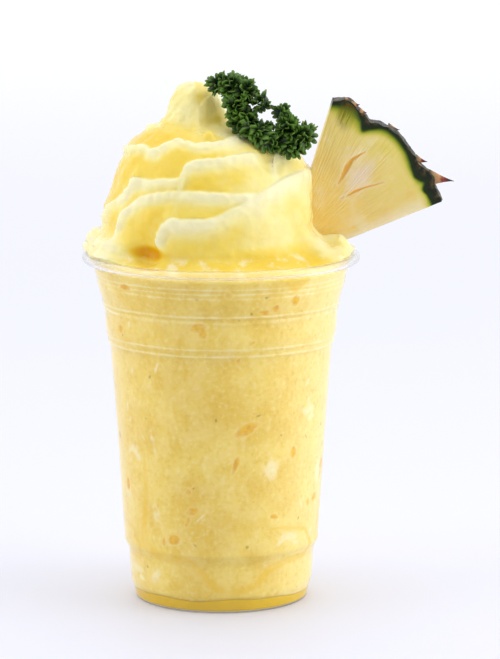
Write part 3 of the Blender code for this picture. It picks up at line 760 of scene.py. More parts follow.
def swirl_rings(share):
    """From the swirl's foot to its tip: each ring and its depths."""
    lengths, radii, heights, normals = PATH
    for along in np.linspace(0.5, lengths[-1] - 0.5, SWIRL_ROWS):
        offset, size = swirl_offset(AZIMUTHS, np.full(COLUMNS, along))
        root = smoothstep(along / ROOT_LENGTH)
        talus = share * TALUS * (1.0 - smoothstep(along / TALUS_LENGTH))
        move = np.maximum(root * offset * size, talus)
        radius = np.interp(along, lengths, radii) + move * np.interp(along, lengths, normals[:, 0])
        height = np.interp(along, lengths, heights) + move * np.interp(along, lengths, normals[:, 1])
        height = height + (1.0 - root) * share * ROOT_LIFT
        depth = np.clip((LIP - offset) / (LIP + HOLLOW_DEPTH), 0.0, 1.0)
        depth = depth * (1.0 - BROAD_CALM * BROAD_FACE) * root + SHOULDER_DEPTH * (1.0 - root)
        depth = depth * (1.0 - 0.9 * np.clip(talus / 4.0, 0.0, 1.0))
        yield ring(np.maximum(radius, 0.2), height, lean(height)), swirl_depth(height, depth)


def smoothie_rings():
    """All rings of the smoothie, and the depth of each point in its fold."""
    share = heap_share(AZIMUTHS)
    both = [*cup_rings(), *shoulder_rings(share), *swirl_rings(share)]
    return np.array([points for points, _ in both]), np.array([depth for _, depth in both])


# %% Single lumps and pits
# Azimuth, height, radius and rise of each, in degrees and millimetres
MOUNDS = (
    (-50, 151.6, 3.2, 1.6), (5, 166.0, 2.4, 2.3), (-48, 131.0, 4.5, 1.2), (-36, 126.6, 5.4, -1.9),
    (-38, 172.0, 3.0, 0.9), (-20, 140.5, 3.0, 0.8), (-5, 141.0, 3.5, 0.7), (42, 158.0, 5.0, -1.6),
    (66, 140.0, 9.0, 0.8),
)

# The same in the heaps, with the distance from the axis as well
HEAP_LUMPS = (
    (86, 43.5, 126.5, 5.0, 3.4), (97, 42.0, 127.0, 4.6, 3.0), (77, 45.0, 125.4, 3.4, 1.6),
    (112, 43.0, 126.0, 4.0, 2.0), (-72, 43.5, 125.8, 4.0, 1.2), (-88, 42.5, 127.5, 5.0, 1.0),
    (-104, 43.5, 127.0, 4.0, 1.4), (170, 42.0, 125.6, 5.0, 1.6),
)


def mound_rise(rings):
    """How far the single lumps lift each point."""
    rise = np.zeros(rings.shape[:2])
    lengths, radii, heights, _ = PATH
    places = [(azimuth, float(np.interp(height, heights, radii)), height, radius, most)
              for azimuth, height, radius, most in MOUNDS]
    for azimuth, reach, height, radius, most in places + list(HEAP_LUMPS):
        turn = math.radians(azimuth - 90.0)
        place = (lean(height) + reach * math.cos(turn), reach * math.sin(turn), height)
        away = np.linalg.norm(rings - np.array(place), axis=-1)
        rise += most * smoothstep(1.25 - away / radius)
    return rise


# %% Lumps and grain
# Size and rise, in millimetres, of the soft lumps, of the crumbs and of the finest grain
LUMP_SIZE, LUMP_RISE = 5.5, 0.46
CRUMB_SIZE, CRUMB_RISE, CRUMB_RISE_ON_CREST = 2.3, 0.12, 0.5
GRAIN_SIZE, GRAIN_RISE = 1.1, 0.06
CREST_DEPTH = 0.45
SMOOTH_BELOW, ROUGH_FROM = 121.0, 125.0


def roughen(rings, folds):
    """Add lumps and grain above the rim, and leave the wall below it smooth."""
    above_rim = smoothstep((rings[..., 2] - SMOOTH_BELOW) / (ROUGH_FROM - SMOOTH_BELOW))
    along_row = np.roll(rings, -1, axis=1) - np.roll(rings, 1, axis=1)
    across_rows = np.gradient(rings, axis=0)
    outward = np.cross(along_row, across_rows)
    outward /= np.maximum(np.linalg.norm(outward, axis=-1, keepdims=True), 1e-9)
    crest = 1.0 - smoothstep(folds / CREST_DEPTH)
    crumbs = (CRUMB_RISE + CRUMB_RISE_ON_CREST * crest) * (1.0 - BROAD_SMOOTH * BROAD_FACE)
    amount = LUMP_RISE * lumps(rings, LUMP_SIZE, 3.1) + crumbs * lumps(rings, CRUMB_SIZE, 8.7)
    amount += GRAIN_RISE * lumps(rings, GRAIN_SIZE, 5.0) + mound_rise(rings)
    return rings + outward * (amount * above_rim)[..., None]


# %% [markdown]
# Through the cup's wall the smoothie isn't even: there are bits of fruit, streaks of froth and
# places where juice has run down. Bits and froth are soft ovals on the wall, each at an azimuth
# and a height, and a run is a line of points. Each point of the mesh carries how strongly they
# show there, and the finish sharpens their edges with noise. The same marks come again, turned
# and shifted, round the sides and the back, which the photograph doesn't show.

# %% What shows through the wall
# Azimuth, height, half widths across and up in millimetres, and the tilt in degrees
PULP = (
    (-10, 103.2, 3.0, 1.5, 8), (-8, 101.0, 1.4, 2.0, 0), (21, 108.0, 2.0, 0.8, -12),
    (27, 109.4, 1.2, 1.4, 30), (4, 114.6, 1.7, 1.3, 0), (-49, 115.2, 3.0, 1.0, 0),
    (16, 97.6, 1.4, 0.7, 20), (9, 90.8, 0.9, 1.7, -20), (-58, 99.4, 1.6, 1.8, 0),
    (15, 66.8, 4.2, 2.0, 25), (8, 53.6, 0.9, 4.0, -18), (-18, 44.3, 1.1, 1.3, 0),
    (-17, 37.2, 2.4, 1.5, 15), (-19, 33.6, 0.9, 2.2, -25), (32, 34.6, 2.0, 0.9, -10),
    (-28, 26.4, 2.2, 1.6, 20), (-35, 25.0, 0.8, 1.8, 0), (44, 57.0, 1.4, 2.4, 0),
)
FROTH = (
    (-40, 61.0, 1.2, 5.4, 14), (-42, 25.0, 0.7, 3.0, 20), (-35, 24.6, 0.6, 2.6, -20),
    (-12, 34.8, 3.6, 0.5, 42), (44, 26.4, 5.6, 1.6, -6), (36, 24.4, 3.0, 1.0, 30),
    (50, 23.6, 2.6, 0.9, -10), (65, 25.8, 1.6, 3.0, -40), (28, 17.0, 1.2, 1.8, 30),
    (54, 71.0, 4.6, 2.0, 8), (58, 68.6, 2.4, 2.2, -20), (-60, 72.0, 0.9, 2.6, 0),
    (52, 81.0, 1.0, 2.2, -30), (-35, 87.4, 0.7, 3.2, -18), (-51, 101.8, 0.7, 1.6, 0),
    (57, 98.6, 0.8, 1.8, 0), (70, 48.0, 3.0, 5.0, 0), (-66, 40.0, 3.0, 4.0, 0),
)
# Runs of juice down the wall: azimuth, height and half width along each
RUNS = (
    (
        (-47, 56.0, 0.5), (-47, 46.5, 1.0), (-48, 38.8, 1.3), (-50, 31.0, 1.6), (-51, 23.2, 2.2),
        (-45, 20.8, 2.4), (-37, 19.9, 2.2), (-27, 19.0, 1.7), (-20, 19.5, 1.1), (-15, 17.0, 1.2),
        (-11, 13.5, 1.6), (-6, 11.1, 1.9), (-1, 9.1, 1.6), (4, 6.5, 2.2),
    ),
    (
        (28, 30.3, 0.4), (41, 29.8, 0.5), (58, 28.0, 0.7), (66, 22.0, 1.0), (63, 18.1, 1.3),
        (44, 17.6, 1.3), (31, 15.1, 1.5), (24, 11.0, 1.5), (17, 8.8, 1.2), (8, 8.0, 1.2),
        (3, 6.5, 1.5),
    ),
    ((26, 120.4, 1.0), (33, 118.4, 2.4), (36, 116.6, 2.2), (42, 119.4, 1.6)),
)

# %% Marks as numbers on the mesh
# Turns in degrees, and shifts in height, at which the marks come again
SPARE_SIDES = ((0, 0.0), (95, 12.0), (150, -9.0), (205, 5.0), (250, -14.0))
RUN_TURNS = (0, 128, 238)


def on_wall(rings):
    """Azimuth and height of each point."""
    return np.degrees(np.arctan2(rings[..., 1], rings[..., 0])) + 90.0, rings[..., 2]


def wall_spots(spots, rings, softness):
    """How strongly these ovals show at each point, from 0 to 1."""
    azimuth, height = on_wall(rings)
    total = np.zeros_like(height)
    for turn, shift in SPARE_SIDES:
        for centre, level, half_across, half_up, tilt in spots:
            offset = (azimuth - centre - turn + 180.0) % 360.0 - 180.0
            across = np.radians(offset) * cup_outer_radius(height)
            up = height - level - shift
            c, s = math.cos(math.radians(tilt)), math.sin(math.radians(tilt))
            reach = np.hypot((across * c + up * s) / half_across, (up * c - across * s) / half_up)
            total = np.maximum(total, smoothstep((1.0 + softness - reach) / (2 * softness)))
    return total * (1.0 - smoothstep((height - 118.0) / 3.0))


def wall_runs(rings):
    """How strongly the runs of juice show at each point, from 0 to 1."""
    azimuth, height = on_wall(rings)
    total = np.zeros_like(height)
    for turn in RUN_TURNS:
        for run in RUNS:
            for (start, low, thin), (end, high, thick) in zip(run, run[1:]):
                span_x = math.radians(end - start) * float(cup_outer_radius(low))
                span_z = high - low
                offset = (azimuth - start - turn + 180.0) % 360.0 - 180.0
                across = np.radians(offset) * cup_outer_radius(height)
                t = np.clip((across * span_x + (height - low) * span_z) / (span_x**2 + span_z**2), 0.0, 1.0)
                away = np.hypot(across - t * span_x, height - low - t * span_z)
                total = np.maximum(total, smoothstep(1.5 - away / (thin + t * (thick - thin))))
    return total * (1.0 - smoothstep((height - 119.0) / 2.0))


def painted_ridge_highlight(height):
    """1 along the wall's upper ridges, for a painted highlight there, fading within 0.7 mm."""
    near = np.zeros_like(height)
    for level, _, _ in RIDGES[2:]:
        near = np.maximum(near, smoothstep(1.2 - np.abs(height - level) / 0.6))
    return near


# %% The smoothie's mesh
# The height, just below the rim, at which foam has gathered
FOAM_LEVEL = 123.2


def make_smoothie_mesh():
    """The skin over all rings, with the numbers that its finish reads."""
    rings, folds = smoothie_rings()
    finished = roughen(rings, folds)
    bottom = (0.0, 0.0, JUICE_LEVEL + JUICE_GAP)
    top = (float(lean(183.0)), 0.0, SWIRL_ENVELOPE[-1][1])
    mesh = ringed_mesh("smoothie_fill", finished, bottom, top)
    inside_cup = 1.0 - smoothstep((rings[..., 2] - 119.5) / 3.5)
    fields = {
        "fold": folds,
        "inside_cup": inside_cup,
        "pulp": wall_spots(PULP, rings, 0.45),
        "froth": wall_spots(FROTH, rings, 0.8),
        "seep": wall_runs(rings),
        "ridge_highlight": painted_ridge_highlight(rings[..., 2]),
        "foam": 0.12 + 0.88 * smoothstep(1.6 - np.abs(rings[..., 2] - FOAM_LEVEL) / 2.4),
        # pale: painted light, rising from the front towards the sides
        "pale": smoothstep((0.98 - np.cos(np.radians(on_wall(rings)[0] + 10.0))) / 0.7),
    }
    for name, values in fields.items():
        carry(mesh, name, np.concatenate([values.ravel(), [values[0].mean(), values[-1].mean()]]))
    return mesh


# %% [markdown]
# Smoothie is milky: light goes a few millimetres in, picks up yellow and comes out again. So
# crests, which light reaches from both sides, look nearly white, and hollows look deep yellow.
# Subsurface scattering gives part of that. The rest is painted by how far a point lies in.

# %% The smoothie's finish
# From a crest to a hollow
SWIRL_COLOURS = (
    (0.0, seen(254, 244, 194)),
    (0.13, seen(253, 238, 160)),
    (0.28, seen(249, 222, 104)),
    (0.45, seen(243, 202, 46)),
    (0.72, seen(228, 164, 2)),
)


def filling_colour(tree, cloud, torn):
    """What shows through the wall: painted light at the sides and on the ridges, flecked, with froth, runs
    and fruit.
    """
    fleck = speckle(tree, 0.0008, roughness=0.6)
    speck = speckle(tree, 0.0013, detail=0.0)
    ridge_highlight, froth, seep, pulp = (
        unsettle(tree, vertex_value(tree, name), torn, 2.4) for name in ("ridge_highlight", "froth", "seep", "pulp"))
    base = mix(tree, spread(tree, cloud, 0.35, 0.7), seen(238, 205, 78), seen(246, 219, 104))
    # Painted light: paler towards the sides, where the wall turns away from the camera.
    pale = sums(tree, "MULTIPLY", vertex_value(tree, "pale"), 0.55)
    base = mix(tree, pale, base, seen(255, 240, 176))
    chunk = mix(tree, spread(tree, fleck, 0.4, 0.6), seen(232, 174, 0), seen(242, 196, 20))
    return layered(
        tree,
        base,
        (seen(222, 176, 48), fleck, 0.52, 0.70, 0.3),
        (seen(253, 240, 176), fleck, 0.48, 0.30, 0.35),
        (seen(134, 104, 40), speck, 0.83, 0.87, 0.5),
        # Painted highlight along the wall's upper ridges.
        (seen(255, 244, 196), ridge_highlight, 0.2, 1.6, 0.75),
        (seen(255, 247, 212), froth, 0.4, 1.3, 0.75),
        (seen(242, 202, 30), seep, 0.1, 1.0, 0.6),
        (seen(253, 238, 168), pulp, -0.2, 0.4, 0.3),
        (chunk, pulp, 0.15, 1.15, 0.9),
    )


def smoothie_finish():
    """The swirl's colours by depth, and the filling's where it lies in the cup."""
    material, tree, shader = new_finish("smoothie")
    cloud = speckle(tree, 0.007)
    torn = speckle(tree, 0.0034, detail=5.0, roughness=0.65)
    swirl = ramp(tree, unsettle(tree, vertex_value(tree, "fold"), cloud, 0.34), *SWIRL_COLOURS)
    foam = sums(tree, "MULTIPLY", vertex_value(tree, "foam"), 0.6)
    swirl = layered(tree, swirl, (seen(255, 248, 214), torn, 0.50, 0.66, foam))
    colour = mix(tree, vertex_value(tree, "inside_cup"), swirl, filling_colour(tree, cloud, torn))
    grain = speckle(tree, 0.0016, detail=4.0, roughness=0.7)
    fine = speckle(tree, 0.0006, roughness=0.6)
    wear(tree, shader, colour, spread(tree, grain, -0.2, 2.4))
    bump(tree, shader, sums(tree, "MULTIPLY_ADD", fine, 0.4, grain), 0.0004, 0.5)
    set_values(shader, Subsurface_Weight=0.22, Subsurface_Scale=0.0025, IOR=1.4, Coat_Weight=0.05)
    set_values(shader, Subsurface_Radius=(1.0, 0.75, 0.3), Coat_Roughness=0.2, Specular_IOR_Level=0.25)
    return material


smoothie = put_in_scene("smoothie_fill", make_smoothie_mesh(), smoothie_finish(), "smoothie", "smoothie")

# %% [markdown]
# ## The juice that has settled
#
# On the cup's floor lies a thin layer of clear juice, olive yellow because it is seen against
# the smoothie above it. It wets the wall like the smoothie does, and its top is wavy.

# %% Make the juice
JUICE_FLOOR = 0.58
JUICE_FOOT = ((15.0, JUICE_FLOOR), (28.6, JUICE_FLOOR), (29.4, 0.68))
JUICE_WALL_FROM = 0.95


def make_juice():
    """A low pool from the cup's floor to the wavy top."""
    rings = [ring(radius, height) for radius, height in JUICE_FOOT]
    for t in np.linspace(0.0, 1.0, 7):
        height = JUICE_WALL_FROM + t * (juice_top(1.0) - JUICE_WALL_FROM)
        rings.append(ring(wetted_radius(height), height))
    for part in reversed(FLAT_RINGS):
        rings.append(ring(part * wetted_radius(juice_top(part)), juice_top(part)))
    return ringed_mesh("juice_pool", np.array(rings), (0, 0, JUICE_FLOOR), (0, 0, JUICE_LEVEL))


# %% The juice's finish
def juice_finish():
    material, tree, shader = new_finish("settled_juice")
    cloud = speckle(tree, 0.005)
    colour = mix(tree, cloud, seen(224, 182, 10), seen(240, 204, 28))
    wear(tree, shader, colour, spread(tree, cloud, -0.5, 6.0))
    set_values(shader, Subsurface_Weight=0.2, Subsurface_Scale=0.002, IOR=1.34, Specular_IOR_Level=0.2)
    set_values(shader, Subsurface_Radius=(1.0, 0.8, 0.2))
    return material


put_in_scene("juice_pool", make_juice(), juice_finish(), "settled_juice", "settled_juice")

# %% [markdown]
# ## The pineapple wedge
#
# The wedge is a sector cut from a round slice, its point pushed into the swirl. Cut flesh has
# fine fibres that run from the core to the rind, with slits where seed pockets were cut open.
# The rind is a thin dark skin with a green yellow band under it, drawn in at each notch
# between two eyes. The slab is a stack of rings again: they spread over the front face, turn
# over the edge, cross the thickness and close over the back.

# %% The wedge's outline
# The wedge's point from the cup's axis and foot, and angles up from the level there
WEDGE_APEX = (21.4, 118.9)
WEDGE_RADIUS = 61.0
WEDGE_LOW, WEDGE_HIGH = 22.0, 73.0
WEDGE_THICKNESS = 11.0
WEDGE_MIDDLE_Y = 2.4
# Each eye or notch on the rind: its angle, half width in degrees and how far it stands out
RIND_RELIEF = ((68, 6, 2.2), (58.5, 3.0, -1.3), (49, 8, 1.2), (37, 3, -0.8), (31, 4, 1.0))
# The angle, and the reach from the wedge's point, of the inner edge of the dark skin, and of
# the green band under it
SKIN_EDGE = (
    (22.0, 56.9), (25.9, 56.8), (28.8, 56.3), (30.5, 57.9), (31.9, 57.0), (34.0, 56.0),
    (35.9, 56.6), (38.9, 57.7), (41.8, 58.6), (45.6, 59.6), (50.0, 60.3), (51.9, 60.2),
    (54.6, 59.2), (57.3, 56.8), (59.6, 55.2), (61.8, 58.2), (64.6, 60.4), (68.5, 60.4),
    (73.0, 59.4),
)
GREEN_EDGE = (
    (22.0, 54.8), (25.3, 55.3), (29.4, 54.8), (33.0, 54.6), (36.7, 55.0), (41.0, 56.0),
    (45.3, 57.0), (50.1, 57.6), (53.4, 56.9), (56.6, 54.7), (59.5, 53.2), (63.3, 54.0),
    (67.2, 54.4), (69.4, 55.4), (73.0, 56.8),
)


def rind_radius(degrees):
    """Distance of the rind's skin from the wedge's point, with its eyes and notches."""
    radius = np.full_like(degrees, WEDGE_RADIUS, dtype=float)
    for centre, half_width, height in RIND_RELIEF:
        radius += height * smoothstep(1.0 - np.abs(degrees - centre) / half_width)
    return radius


SIDE_POINTS = 110
RIND_POINTS = 180


def wedge_outline():
    """Points round the wedge from its point, up the low side, along the rind and back."""
    degrees = np.linspace(WEDGE_LOW, WEDGE_HIGH, RIND_POINTS)
    reach = rind_radius(degrees)
    low_side = np.linspace(0.0, reach[0], SIDE_POINTS, endpoint=False)
    high_side = np.linspace(reach[-1], 0.0, SIDE_POINTS + 1)[1:-1]
    reaches = np.concatenate([low_side, reach, high_side])
    ends = (np.full_like(low_side, WEDGE_LOW), degrees, np.full_like(high_side, WEDGE_HIGH))
    angles = np.radians(np.concatenate(ends))
    return np.stack([reaches * np.cos(angles), reaches * np.sin(angles)], axis=1)


# %% Slits, fibres and the depth below the skin
# Each slit is a line of points: angle, reach and half width
SLITS = (
    (
        (55.8, 34.8, -0.1), (56.2, 38.6, 0.45), (56.8, 41.5, 0.75), (56.8, 44.7, 0.4),
        (55.5, 47.2, 0.15), (54.1, 49.5, -0.1),
    ),
    (
        (49.5, 31.3, -0.2), (47.4, 33.4, 0.0), (45.8, 36.7, 0.25), (43.6, 40.1, 0.05),
        (41.1, 43.6, 0.0), (39.5, 46.5, -0.2),
    ),
)


def polar(x, z):
    """Angle and reach from the wedge's point."""
    return np.degrees(np.arctan2(z, x)), np.hypot(x, z)


def slit_depth(x, z):
    """Over 1 inside a slit, and falling away from it to 0."""
    depth = np.zeros_like(x)
    for slit in SLITS:
        for (angle_a, reach_a, thin), (angle_b, reach_b, thick) in zip(slit, slit[1:]):
            a = np.array((math.cos(math.radians(angle_a)), math.sin(math.radians(angle_a)))) * reach_a
            b = np.array((math.cos(math.radians(angle_b)), math.sin(math.radians(angle_b)))) * reach_b
            span = b - a
            t = np.clip(((x - a[0]) * span[0] + (z - a[1]) * span[1]) / (span @ span), 0.0, 1.0)
            away = np.hypot(x - a[0] - t * span[0], z - a[1] - t * span[1])
            depth = np.maximum(depth, np.clip(1.5 - (away - (thin + t * (thick - thin))) / 0.9, 0.0, 2.0))
    return depth


def skin_zone(x, z):
    """0 on the rind's outside, 1 where the dark skin ends, 2 where the green ends, then on."""
    degrees, reach = polar(x, z)
    outside = rind_radius(degrees)
    skin_edge, green_edge = smooth_line(degrees, SKIN_EDGE), smooth_line(degrees, GREEN_EDGE)
    zone = np.clip((outside - reach) / (outside - skin_edge), 0.0, 1.0)
    zone = zone + np.clip((skin_edge - reach) / (skin_edge - green_edge), 0.0, 1.0)
    return zone + np.clip((green_edge - reach) / 6.0, 0.0, None)


def wedge_fields(x, z):
    """Numbers that the finish reads, for a place on either cut face."""
    degrees, reach = polar(x, z)
    return {"skin": skin_zone(x, z), "slit": slit_depth(x, z), "ray": degrees / 10.0, "reach": reach / 10.0}


# %% [markdown]
# The slab starts as the outline, shrunk towards a middle point ring by ring on both faces. Then
# its surface is moved: the flesh gets fine ridges along its fibres, the slits sink, and the rind
# bulges halfway across its thickness and breaks into scales.

# %% Build the slab
FACE_RINGS = 64
EDGE_RINGS = 18
MIDDLE_ANGLE, MIDDLE_REACH = 48.0, 33.0
FACE_INSET = 0.12
FIBRE_RELIEF = 0.16
SLIT_SINK = 0.45
SKIN_SINK = 0.35
SCALE_RELIEF = 0.9
CROWN = 0.5


def slab_rows(middle, half):
    """The outline's points in rows over the front, the edge and the back, and each row's place."""
    outline = wedge_outline()
    rows, depths = [], []
    for share in np.linspace(0.02, 1.0, FACE_RINGS) ** 0.9:
        rows.append(middle + (outline - middle) * share)
        depths.append(-half)
    for turn in np.linspace(-1.0, 1.0, EDGE_RINGS)[1:-1]:
        rows.append(outline)
        depths.append(half * turn)
    for share in np.linspace(1.0, 0.02, FACE_RINGS) ** 0.9:
        rows.append(middle + (outline - middle) * share)
        depths.append(half)
    return np.array(rows), np.array(depths)


def make_wedge():
    """The slab with its fibres, slits and scales, and the numbers that its finish reads."""
    turn = math.radians(MIDDLE_ANGLE)
    middle = MIDDLE_REACH * np.array((math.cos(turn), math.sin(turn)))
    half = WEDGE_THICKNESS / 2.0
    flat, depths = slab_rows(middle, half)
    y = np.repeat(depths[:, None], flat.shape[1], axis=1)
    x, z = flat[..., 0], flat[..., 1]
    fields = wedge_fields(x, z)
    facing = np.sign(y) * (np.abs(y) > half - 0.01)
    fibre_places = np.stack([fields["ray"] * 16.0, fields["reach"] * 1.2, y * 0.2], axis=-1)
    fibres = lumps(fibre_places, 1.0, 2.0)
    pillow = smoothstep(fields["skin"] - 0.6)
    sunk = smoothstep(fields["slit"] - 0.9) * (facing < 0)
    sink = SLIT_SINK * sunk + SKIN_SINK * (1.0 - pillow) - FIBRE_RELIEF * fibres * pillow
    y = y - facing * (FACE_INSET + sink)
    degrees, reach = polar(x, z)
    on_skin = smoothstep(1.0 - (rind_radius(degrees) - reach) / 1.5)
    scale_places = np.stack([fields["ray"] * 1.9, y * 0.22, fields["reach"] * 0.2], axis=-1)
    scales = np.abs(lumps(scale_places, 1.0, 6.0)) + 0.35 * lumps(scale_places, 0.35, 1.0)
    crown = 1.0 - (y / half) ** 2
    grow = on_skin * (CROWN * crown - SCALE_RELIEF * scales - CROWN)
    x = x + grow * np.cos(np.radians(degrees))
    z = z + grow * np.sin(np.radians(degrees))
    rings = np.stack([x + WEDGE_APEX[0], y + WEDGE_MIDDLE_Y, z + WEDGE_APEX[1]], axis=-1)
    centre_x, centre_z = middle + np.array(WEDGE_APEX)
    front = (centre_x, WEDGE_MIDDLE_Y - half + 0.1, centre_z)
    back = (centre_x, WEDGE_MIDDLE_Y + half - 0.1, centre_z)
    mesh = ringed_mesh("wedge_slab", rings[:, ::-1], front, back)
    for name, values in fields.items():
        values = values[:, ::-1]
        carry(mesh, name, np.concatenate([values.ravel(), [values[0].mean(), values[-1].mean()]]))
    carry(mesh, "scale", np.concatenate([scales[:, ::-1].ravel(), [0.0, 0.0]]))
    return mesh


# %% [markdown]
# Flesh is pale and wet, a little more orange near the core, with fibres that are slightly paler
# or darker than the rest. The same shader paints the rind, since both are one fruit, by how deep
# a point lies below the skin: black green, then green yellow, then flesh.

# %% The pineapple's finish
# From the core to the rind
FLESH_COLOURS = (
    (0.25, seen(255, 212, 108)),
    (0.42, seen(252, 216, 120)),
    (0.62, seen(243, 214, 124)),
    (0.85, seen(240, 218, 126)),
    (1.0, seen(232, 214, 98)),
)
# From the rind's outside in
RIND_COLOURS = (
    (0.0, seen(36, 40, 22)),
    (0.14, seen(22, 30, 12)),
    (0.29, seen(28, 46, 8)),
    (0.36, seen(84, 108, 16)),
    (0.44, seen(158, 164, 40)),
    (0.56, seen(214, 202, 86)),
    (0.74, seen(240, 222, 138)),
)


def flesh_colour(tree, ray, reach, fibre, cloud):
    """Flesh: whiter between the slits and along the low side, mottled, with pale fibres."""
    flesh = ramp(tree, sums(tree, "DIVIDE", unsettle(tree, reach, cloud, 2.2), 6.2), *FLESH_COLOURS)
    off_ray = sums(tree, "ABSOLUTE", sums(tree, "SUBTRACT", ray, 4.9), 0.0)
    off_middle = sums(tree, "ABSOLUTE", sums(tree, "SUBTRACT", reach, 4.15), 0.0)
    off_slits = sums(tree, "MULTIPLY_ADD", off_ray, 1.1, sums(tree, "MULTIPLY", off_middle, 0.8))
    mottle = speckle(tree, 0.0045, detail=4.0, roughness=0.6)
    slit = vertex_value(tree, "slit")
    return layered(
        tree,
        flesh,
        (seen(246, 224, 196), off_slits, 1.0, 0.2, 0.85),
        (seen(253, 236, 194), mottle, 0.52, 0.72, 0.45),
        (seen(240, 196, 92), mottle, 0.48, 0.30, 0.35),
        (seen(252, 240, 214), ray, 2.9, 2.2, 0.6),
        (seen(253, 234, 184), fibre, 0.5, 0.8, 0.3),
        (seen(226, 182, 96), fibre, 0.45, 0.2, 0.12),
        (seen(250, 234, 208), slit, -0.2, 1.0, 0.25),
        (seen(240, 180, 66), slit, 0.95, 1.5, 0.9),
    )


def rind_colour(tree, ray, fibre, skin):
    """Rind: bark on its outside, and brown streaks under the eye at its high end."""
    rind = ramp(tree, sums(tree, "DIVIDE", skin, 3.2), *RIND_COLOURS)
    under_eye = sums(tree, "MULTIPLY", spread(tree, ray, 6.3, 6.7), spread(tree, ray, 7.15, 6.8))
    streaks = sums(tree, "MULTIPLY", under_eye, 0.7)
    blotch = speckle(tree, 0.0012, detail=4.0, roughness=0.7)
    bark = mix(tree, spread(tree, blotch, 0.42, 0.66), seen(24, 32, 16), seen(92, 78, 44))
    scale = spread(tree, vertex_value(tree, "scale"), 0.15, 0.55)
    bark = mix(tree, scale, bark, seen(22, 30, 16))
    rind = layered(tree, rind, (seen(112, 92, 20), fibre, 0.35, 0.6, streaks))
    return mix(tree, spread(tree, skin, 0.7, 0.1), rind, bark)


# %% Join flesh and rind
def pineapple_finish():
    material, tree, shader = new_finish("pineapple")
    ray, reach = vertex_value(tree, "ray"), vertex_value(tree, "reach")
    spans = {"X": sums(tree, "MULTIPLY", ray, 9.0), "Y": sums(tree, "MULTIPLY", reach, 0.5)}
    place = add_node(tree, "ShaderNodeCombineXYZ", spans).outputs[0]
    inputs = {"Vector": place, "Scale": 3.0, "Detail": 5.0, "Roughness": 0.6}
    fibre = add_node(tree, "ShaderNodeTexNoise", inputs).outputs["Fac"]
    cloud = speckle(tree, 0.006, detail=2.0)
    skin = unsettle(tree, vertex_value(tree, "skin"), cloud, 0.7)
    flesh = flesh_colour(tree, ray, reach, fibre, cloud)
    colour = mix(tree, spread(tree, skin, 1.8, 2.6), rind_colour(tree, ray, fibre, skin), flesh)
    wear(tree, shader, colour, spread(tree, fibre, -0.6, 1.8))
    bump(tree, shader, fibre, 0.0004, 0.6)
    set_values(shader, Subsurface_Weight=0.25, Subsurface_Scale=0.002, IOR=1.38, Coat_Weight=0.08)
    set_values(shader, Subsurface_Radius=(1.0, 0.7, 0.25), Specular_IOR_Level=0.3)
    return material


put_in_scene("wedge_slab", make_wedge(), pineapple_finish(), "pineapple", "pineapple_wedge")

# %% [markdown]
# A dry spine stands out of the rind near its low corner, and papery bracts lie on it. Each is a
# thin blade that tapers and bends: a stack of flat oval rings along a curve. Eight bracts are
# enough to break the rind's edge, where the photograph shows them.

# %% Spine and bracts
# Root and tip as angle and reach from the wedge's point, place across the thickness, and the
# root's width and thickness
BLADES = {
    "spine": ((31.0, 59.8), (26.2, 67.2), -2.6, 6.0, 2.0),
    "bract_top": ((69.0, 61.4), (67.0, 63.0), -3.6, 4.4, 1.3),
    "bract_next": ((66.6, 61.2), (64.4, 62.8), -4.0, 4.0, 1.2),
    "bract_upper": ((63.6, 60.4), (61.2, 61.4), -4.2, 3.4, 1.1),
    "bract_notch": ((58.0, 57.6), (55.4, 60.4), -4.2, 3.2, 1.0),
    "bract_middle": ((45.0, 59.6), (42.4, 60.8), -4.0, 2.6, 0.8),
    "bract_low": ((37.0, 58.8), (34.4, 60.6), -4.2, 2.6, 0.8),
    "bract_back": ((52.0, 60.4), (48.6, 62.6), 2.5, 4.0, 1.1),
    "bract_far": ((38.0, 59.4), (34.8, 62.4), 2.8, 3.8, 1.1),
}
BLADE_BEND = 0.08
BLADE_ROWS = 16
BLADE_SIDES = 14


def blade_mesh(name, length, width, thickness):
    """A blade along +Z that tapers to a point and bows a little towards +X."""
    turn = np.arange(BLADE_SIDES) * math.tau / BLADE_SIDES
    rings = []
    for t in np.linspace(0.0, 1.0, BLADE_ROWS):
        taper = (1.0 - t) ** 1.3 + 0.03
        x = thickness / 2.0 * taper * np.cos(turn) + BLADE_BEND * length * t * t
        y = width / 2.0 * taper * np.sin(turn)
        rings.append(np.stack([x, y, np.full(BLADE_SIDES, length * t)], axis=1))
    rings = np.array(rings)
    rings += 0.12 * lumps(rings, 1.4, 4.0)[..., None] * np.array((1.0, 1.0, 0.0))
    mesh = ringed_mesh(name, rings, (0, 0, -0.1), (BLADE_BEND * length, 0, length + 0.05))
    along = np.repeat(np.linspace(0, 1, BLADE_ROWS), BLADE_SIDES)
    carry(mesh, "tip", np.concatenate([along, [0.0, 1.0]]))
    return mesh


def bract_finish():
    """Dry fibre: dark at the root, straw and rust along it, near black at the tip."""
    material, tree, shader = new_finish("dry_bract")
    streak = speckle(tree, 0.0012, detail=4.0)
    colour = ramp(
        tree,
        unsettle(tree, vertex_value(tree, "tip"), streak, 0.5),
        (0.0, seen(64, 60, 40)),
        (0.22, seen(176, 140, 92)),
        (0.45, seen(206, 150, 96)),
        (0.62, seen(134, 44, 32)),
        (0.85, seen(66, 40, 34)),
    )
    wear(tree, shader, colour, spread(tree, streak, -0.8, 1.6))
    bump(tree, shader, streak, 0.0003, 0.5)
    return material


